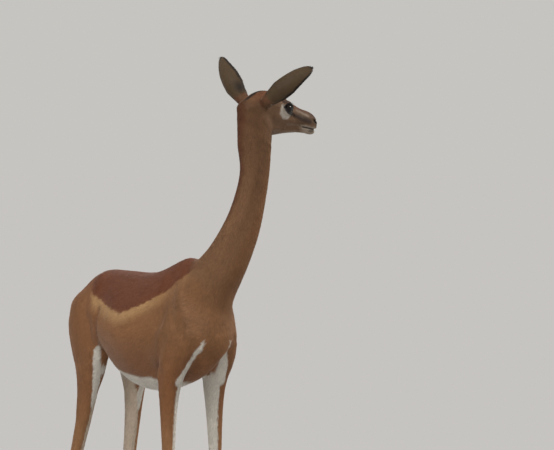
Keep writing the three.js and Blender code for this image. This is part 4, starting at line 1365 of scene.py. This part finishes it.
class GERENUK_OT_coat(Operator):
    """Covers the skin with short tufts that lie along the body"""

    bl_idname = "gerenuk.coat"
    bl_label = "Coat"

    def execute(self, context):
        sizes = context.scene.gerenuk_sizes
        skin = SHARED["skin"]
        rng = np.random.default_rng(context.scene.gerenuk_stage.seed)
        owners = skin.kinds[skin.triangles[:, 0]]
        middle_y = skin.points[skin.triangles].mean(axis=1)[:, 1]
        for index, node in enumerate(FLESH):
            halves = {f"coat_{node}": owners == index}
            if node == "torso":
                halves = {
                    "coat_torso_left": (owners == index) & (middle_y > MIDDLE_Y),
                    "coat_torso_right": (owners == index) & (middle_y <= MIDDLE_Y),
                }
            for name, chosen in halves.items():
                self.cover(name, node, chosen, skin, sizes, rng)
        return {"FINISHED"}

    def cover(self, name, node, chosen, skin, sizes, rng):
        """Tufts on the chosen triangles of the skin, which belong to one node."""
        hair_length, width, spacing, lift = hair_style(node, sizes)
        spacing *= 1
        points, normals, lie, kinds = scatter(skin, chosen, spacing * MM, rng)
        points, normals, lie, kinds = (values[~bare(points)] for values in (points, normals, lie, kinds))
        count = len(points)
        lie = unit(lie + np.cross(normals, lie) * rng.normal(0, 0.16, count)[:, None])
        lengths = hair_length * rng.uniform(0.75, 1.2, count)
        lengths *= self.shorter(points, node)
        colour = markings(points, normals, kinds) * rng.uniform(0.84, 1.14, count)[:, None]
        stretched = points - 0.75 * lie * (points * lie).sum(axis=1, keepdims=True)
        clumps = wobble(stretched, 0.011) + 0.7 * wobble(stretched, 0.0047)
        is_ear = node.startswith("ear")
        colour *= 1 + (0.05 if node == "head" or is_ear else 0.10) * clumps[:, None]
        widths = width * MM * rng.uniform(0.8, 1.2, count)
        rise = np.maximum(rng.normal(lift, 0.03, count), 0.01)
        rise = np.maximum(rise, self.sunk(skin, points + lie * lengths[:, None]) / lengths + 0.04)
        slot = "coat_ear" if is_ear else "coat_fawn"
        grow_hair(name, slot, 1, chart_axis(node), points, lie, normals, colour, is_ear, length=lengths,
                  width=widths, thick=0.22 * width * MM, rise=rise, droop=0.0)

    def sunk(self, skin, tips):
        """How deep the tips of flat tufts lie in the skin, where it rises ahead of them."""
        found = [skin.tree.find_nearest(tip) for tip in tips.tolist()]
        spots, facing = (np.array([hit[i] for hit in found]) for i in (0, 1))
        return np.clip(((spots - tips) * facing).sum(axis=1), 0, 4 * MM)

    def shorter(self, points, node):
        """How much shorter the hair is towards the feet, the lids and the nose."""
        share = np.ones(len(points))
        if node == "head":
            x, _, z = in_head(points).T / MM
            share *= 1 - 0.5 * ease(x, 120, 200)
            share *= 0.4 + 0.6 * ease(np.hypot(x - 95, z - 22), 18, 32)
            share *= 1 - 0.5 * (1 - ease(np.abs(z + 13), 3, 8)) * ease(x, 160, 175)
            share *= 1 + 0.6 * (1 - ease(x, -10, 40))
        if node.endswith("lower"):
            share *= 0.7 + 0.3 * ease(points[:, 2], 0.05, 0.3)
            share *= 1 + 0.9 * (1 - ease(points[:, 2], 0.034, 0.044))
        return share


KNEE_UP = 0.328  # the height of the middle of a knee's brush


class GERENUK_OT_long_hair(Operator):
    """Makes the tuft of the tail, the hair in the ears, the brushes of the knees and the lashes"""

    bl_idname = "gerenuk.long_hair"
    bl_label = "Long hair"

    def execute(self, context):
        sizes = context.scene.gerenuk_sizes
        colours = context.scene.gerenuk_colours
        rng = np.random.default_rng(context.scene.gerenuk_stage.seed + 1)
        self.tail_tuft(sizes, colours, rng)
        for name in EAR_WAYS:
            self.ear_fringe(name, colours, rng)
        for side, word in ((1, "left"), (-1, "right")):
            self.lashes(side, word, colours, rng)
            self.knee_brush(f"foreleg_{word}", colours, rng)
        return {"FINISHED"}

    def tail_tuft(self, sizes, colours, rng):
        """Long black hair all round the end of the tail, which hangs down to the end of the solid."""
        low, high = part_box("tail")
        count = 420
        up = rng.uniform(0.655, 0.752, count)
        turn = rng.uniform(0, 2 * math.pi, count)
        radius = np.interp(up, (0.65, 0.69, 0.76), (1.0, 3.0, 7.0)) * MM
        out = np.stack([np.cos(turn), np.sin(turn), np.zeros(count)], axis=1)
        core = np.array([RUMP_X + TAIL_LINE[-1][0] * MM, (low.y + high.y) / 2, 0.0])
        roots = core + out * radius[:, None]
        roots[:, 2] = np.maximum(up, TAIL_LINE[-1][1] * MM - 0.002)
        lengths = np.minimum(sizes.tuft_hair * rng.uniform(0.55, 1.0, count), roots[:, 2] - low.z)
        along = unit(out * rng.uniform(0.02, 0.28, count)[:, None] + DOWN)
        normal = unit(out - along * (out * along).sum(axis=1, keepdims=True))
        grow_hair("tail_tuft", "coat_tail", 4, (0, 0, 1), roots, along, normal, length=lengths,
                  width=rng.uniform(2.2, 3.6, count) * MM, thick=0.8 * MM,
                  rise=rng.uniform(-0.02, 0.10, count), droop=0.0,
                  colour=np.array(colours.tail) * rng.uniform(0.7, 1.5, count)[:, None])

    def ear_fringe(self, name, colours, rng):
        """Longer hair on the inner face of an ear and along its edge, which points to tip and middle."""
        _, axis, opening, _ = (np.array(v) for v in ear_frame(name))
        inner, rim = 1500, 700
        count = inner + rim
        s = np.concatenate([rng.uniform(0.06, 0.93, inner), rng.uniform(0.15, 0.97, rim)])
        share = np.concatenate([rng.uniform(-0.93, 0.93, inner), rng.choice((-0.99, 0.99), rim)])
        is_rim = np.arange(count) >= inner
        inset = EAR_WALL + 0.2 * MM
        roots = ear_point(name, s, share, inset)
        wards = unit(ear_point(name, s, share + 0.02, inset) - roots)
        tipward = unit(ear_point(name, s + 0.01, share, inset) - roots)
        normal = unit(np.cross(tipward, wards))
        normal *= np.sign((normal * opening).sum(axis=1) + 1e-9)[:, None]
        turn = np.where(is_rim, share * 0.25, -share * 0.4 + rng.normal(0, 0.15, count))
        along = unit(tipward + wards * turn[:, None])
        colour = markings(roots, normal, np.full(count, FLESH.index(name)))
        edge = np.array(colours.pale) * 0.9
        colour = np.where((is_rim & (s < 0.85))[:, None], 0.5 * colour + 0.5 * edge, colour)
        grow_hair(f"fringe_{name}", "coat_ear", 3, axis, roots, along, normal,
                  length=np.where(is_rim, rng.uniform(4, 7, count), rng.uniform(8, 16, count)) * MM,
                  width=rng.uniform(0.8, 1.3, count) * MM, thick=0.3 * MM,
                  rise=np.where(is_rim, 0.05, rng.uniform(0.08, 0.28, count)), droop=0.0,
                  colour=colour * rng.uniform(0.85, 1.15, count)[:, None])

    def lashes(self, side, word, colours, rng):
        """Long dark lashes along the edge of the upper lid."""
        count = 46
        turn = np.radians(np.linspace(22, 165, count)) + rng.normal(0, 0.02, count)
        centre, fore, up, out = eye_frame(side)
        ahead, above = lid_edge(turn)
        flat = fore * (ahead * MM)[:, None] + up * (above * MM)[:, None]
        depth = np.sqrt((EYE_RADIUS + 1.2 * MM) ** 2 - (flat**2).sum(axis=1))
        roots = centre + flat + out * depth[:, None]
        along = unit(unit(flat) * 0.55 + out + up * 0.25)
        normal = unit(up - along * (along @ up)[:, None])
        grow_hair(f"lashes_{word}", "coat_tail", 4, out, roots, along, normal,
                  length=rng.uniform(6, 10, count) * MM, width=0.6 * MM, thick=0.25 * MM,
                  rise=0.15, droop=0.2, colour=np.array(colours.dark) * 0.6)

    def knee_brush(self, leg, colours, rng):
        """The brush of longer dark hair on the front of a knee, thickest in its middle."""
        skin = SHARED["skin"]
        knee = (middle_of(f"{leg}_lower").y, KNEE_UP)
        away = np.abs(skin.points[skin.triangles].mean(axis=1)[:, 1:] - knee)
        near = (away[:, 0] < 0.04) & (away[:, 1] < 0.032) & (skin.points[skin.triangles[:, 0], 0] > 0)
        roots, normal, lie, _ = scatter(skin, near, 0.95 * MM, rng)
        thick = ease(normal[:, 0], 0.15, 0.85) * (1 - ease(np.abs(roots[:, 2] - knee[1]), 0.006, 0.030))
        keep = rng.random(len(roots)) < thick
        roots, normal, lie, thick = roots[keep], normal[keep], lie[keep], thick[keep]
        count = len(roots)
        lie = unit(lie + np.cross(normal, lie) * rng.normal(0, 0.2, count)[:, None])
        dark, brown = np.array(colours.dark), np.array(colours.nape)
        grow_hair(f"brush_{leg}", "coat_tail", 3, (0, 0, 1), roots, lie, normal,
                  length=rng.uniform(5, 7 + 5 * thick) * MM, width=rng.uniform(0.7, 1.2, count) * MM,
                  thick=0.25 * MM, rise=rng.uniform(0.05, 0.16, count), droop=0.05,
                  colour=dark + brown * rng.uniform(0.1, 0.9 - 0.5 * thick)[:, None])


PUPIL_LONG, PUPIL_TALL = 0.42, 0.24  # half of the pupil's length and height, as shares of the eye's radius


class GERENUK_OT_eyes(Operator):
    """Makes the eyes, each a ball with the bulge of the cornea and a level pupil"""

    bl_idname = "gerenuk.eyes"
    bl_label = "Eyes"

    def execute(self, context):
        colours = context.scene.gerenuk_colours
        material = eye_material()
        bare_skin = lid_material()
        for side, word in ((1, "left"), (-1, "right")):
            node = f"eye_{word}"
            centre, axis = middle_of(node), eye_axis(side)
            level = (HEAD_TURN.col[0] - axis * axis.dot(HEAD_TURN.col[0])).normalized()
            bm = bmesh.new()
            bmesh.ops.create_uvsphere(bm, u_segments=64, v_segments=48, radius=1)
            turn = Matrix((level, axis.cross(level), axis)).transposed()
            for vertex in bm.verts:
                near = max(0.0, vertex.co.z)
                bulge = 1 + 0.05 * ease(near, 0.80, 1.0)
                vertex.co = centre + turn @ vertex.co * (EYE_RADIUS - 0.3 * MM) * float(bulge)
            mesh = mesh_of(f"{node}_ball", bm)
            away = (corners(mesh) - np.array(centre)) @ np.array(turn) / EYE_RADIUS
            paint = Paint(len(away), np.array(colours.nose) * 0.8)
            radius = np.hypot(away[:, 0], away[:, 1])
            front = away[:, 2] > 0
            paint.lay(colours.eye, (1 - ease(radius, 0.66, 0.72)) * front)
            pupil = np.hypot(away[:, 0] / PUPIL_LONG, away[:, 1] / PUPIL_TALL)
            paint.lay(colours.pupil, (1 - ease(pupil, 0.95, 1.1)) * front)
            write_markings(mesh, paint.colour)
            eyeball = linked(f"{node}_ball", mesh, material)
            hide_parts(node)
            linked(f"lids_{word}", self.lids(side, colours), bare_skin)
        return {"FINISHED"}

    def lids(self, side, colours):
        """The moist edge of both lids: a rounded rim that lies on the eyeball all round its opening."""
        centre, fore, up, out = eye_frame(side)
        around, across = 120, 16
        bm = bmesh.new()
        bmesh.ops.create_grid(bm, x_segments=around, y_segments=across, size=1)
        for vertex in bm.verts:
            turn = math.pi * (vertex.co.x + 1)
            roll = math.pi * (vertex.co.y + 1)
            ahead, above = (float(v) for v in lid_edge(np.array(turn)))
            wide = 1.6 + 0.4 * abs(math.cos(turn)) ** 6
            larger = 1 + (0.55 + wide * math.cos(roll)) / math.hypot(ahead, above)
            flat = (fore * ahead + up * above) * larger * MM
            level = np.linalg.norm(flat)
            surface = math.sqrt(max(EYE_RADIUS**2 - level**2, 1e-6))
            way = unit(flat + out * surface)
            vertex.co = centre + way * (EYE_RADIUS + (0.3 + 1.35 * math.sin(roll)) * MM)
        bmesh.ops.remove_doubles(bm, verts=bm.verts, dist=0.002 * MM)
        bmesh.ops.recalc_face_normals(bm, faces=bm.faces)
        mesh = mesh_of("lids", bm)
        write_markings(mesh, np.tile(np.array(colours.nose), (len(mesh.vertices), 1)))
        return mesh


HOOF_GRAIN = 1.1 * MM
DEWCLAW = Vector((4.6, 4.2, 8.0)) * MM  # half of a dewclaw's depth, width and height


class GERENUK_OT_hooves(Operator):
    """Rounds the claws of the hooves and adds the dewclaws"""

    bl_idname = "gerenuk.hooves"
    bl_label = "Hooves"

    def execute(self, context):
        material = horn_material()
        for leg in LEGS:
            for claw in ("outer", "inner"):
                node = f"{leg}_claw_{claw}"
                claw_copy = closed_copy([node], swell=0.4 * MM)
                mesh = through(claw_copy, "REMESH", mode="VOXEL", voxel_size=HOOF_GRAIN)
                relax(mesh, np.full(len(mesh.vertices), 2.0 * MM), HOOF_GRAIN)
                points = corners(mesh)
                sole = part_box(node)[0].z
                points[:, 2] = np.where(points[:, 2] < sole + 1.2 * MM, sole, points[:, 2])
                place_corners(mesh, points)
                mesh = through(bmesh_of(mesh), "DECIMATE", ratio=0.25)
                hoof = linked(f"hoof_{leg}_{claw}", mesh, material)
                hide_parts(node)
        bm = bmesh.new()
        for place in dewclaws():
            turn = Matrix.LocRotScale(Vector(place), Euler((0, math.radians(-30), 0)), DEWCLAW)
            made = bmesh.ops.create_uvsphere(bm, u_segments=20, v_segments=14, radius=1)["verts"]
            for vertex in made:
                narrow = 1 - 0.45 * max(0.0, -vertex.co.z)
                vertex.co = turn @ Vector((vertex.co.x * narrow, vertex.co.y * narrow, vertex.co.z))
        linked("dewclaws", mesh_of("dewclaws", bm), material)
        return {"FINISHED"}


PICTURE_MIDDLE = Vector((0.0774, 0.2110, 1.0486))
STUDIO_AIR = "#C6C4C0"  # the even light from all round
SUNS = (  # name, where it stands round her and how high, strength, how wide it looks, colour
    ("key", 22, 42, 1.7, 28, "#FFFDFA"),
    ("rim", 158, 38, 2.0, 13, "#FFFAF2"),
)


class GERENUK_OT_stage(Operator):
    """Sets the floor, the lights and the camera"""

    bl_idname = "gerenuk.stage"
    bl_label = "Stage"

    def execute(self, context):
        stage = context.scene.gerenuk_stage
        bm = bmesh.new()
        bmesh.ops.create_circle(bm, cap_ends=True, radius=60, segments=96)
        mesh = mesh_of("floor", bm)
        mesh.materials.append(floor_material())
        floor = bpy.data.objects.new("floor", mesh)
        context.scene.collection.objects.link(floor)

        world = context.scene.world or bpy.data.worlds.new("Studio")
        context.scene.world = world
        world.use_nodes = True
        world.node_tree.nodes["Background"].inputs["Color"].default_value = (*linear(STUDIO_AIR), 1)
        world.node_tree.nodes["Background"].inputs["Strength"].default_value = 1.0
        for sun in SUNS:
            self.sun(context, *sun)
        context.scene.view_settings.view_transform = "Standard"

        way = self.direction(stage.azimuth, stage.elevation)
        data = bpy.data.cameras.new("camera")
        data.sensor_width = 36
        data.lens = data.sensor_width * stage.distance / stage.view_width
        data.clip_end = 200
        camera = bpy.data.objects.new("camera", data)
        camera.location = PICTURE_MIDDLE + way * stage.distance
        camera.rotation_euler = way.to_track_quat("Z", "Y").to_euler()
        context.scene.collection.objects.link(camera)
        context.scene.camera = camera
        return {"FINISHED"}

    def direction(self, azimuth, elevation):
        level = math.cos(elevation)
        return Vector((math.sin(azimuth) * level, -math.cos(azimuth) * level, math.sin(elevation)))

    def sun(self, context, name, azimuth, elevation, strength, spread, code):
        """A soft light from far away. Angles are in degrees, spread is how wide it looks from here."""
        data = bpy.data.lights.new(name, "SUN")
        data.energy = strength
        data.angle = math.radians(spread)
        data.color = linear(code)
        lamp = bpy.data.objects.new(name, data)
        way = self.direction(math.radians(azimuth), math.radians(elevation))
        lamp.rotation_euler = way.to_track_quat("Z", "Y").to_euler()
        lamp.location = way * 6
        context.scene.collection.objects.link(lamp)


class GERENUK_PT_panel(Panel):
    """The gerenuk's pieces, in the order that they are made"""

    bl_idname = "GERENUK_PT_panel"
    bl_label = "Gerenuk"
    bl_space_type = "VIEW_3D"
    bl_region_type = "UI"
    bl_category = "Gerenuk"

    def draw(self, context):
        for operator in OPERATORS:
            self.layout.operator(operator.bl_idname)
        for group in ("gerenuk_sizes", "gerenuk_colours", "gerenuk_stage"):
            box = self.layout.box()
            settings = getattr(context.scene, group)
            for name in settings.bl_rna.properties.keys():
                if name not in ("rna_type", "name"):
                    box.prop(settings, name)


OPERATORS = (
    GERENUK_OT_skin,
    GERENUK_OT_coat,
    GERENUK_OT_long_hair,
    GERENUK_OT_eyes,
    GERENUK_OT_hooves,
    GERENUK_OT_stage,
)
GROUPS = (GerenukColours, GerenukSizes, GerenukStage)


def register():
    for cls in (*GROUPS, *OPERATORS, GERENUK_PT_panel):
        bpy.utils.register_class(cls)
    bpy.types.Scene.gerenuk_colours = PointerProperty(type=GerenukColours)
    bpy.types.Scene.gerenuk_sizes = PointerProperty(type=GerenukSizes)
    bpy.types.Scene.gerenuk_stage = PointerProperty(type=GerenukStage)


def unregister():
    for name in ("gerenuk_stage", "gerenuk_sizes", "gerenuk_colours"):
        delattr(bpy.types.Scene, name)
    for cls in reversed((*GROUPS, *OPERATORS, GERENUK_PT_panel)):
        bpy.utils.unregister_class(cls)


def main():
    register()
    for operator in OPERATORS:
        group, name = operator.bl_idname.split(".")
        getattr(getattr(bpy.ops, group), name)()


if __name__ == "__main__":
    main()
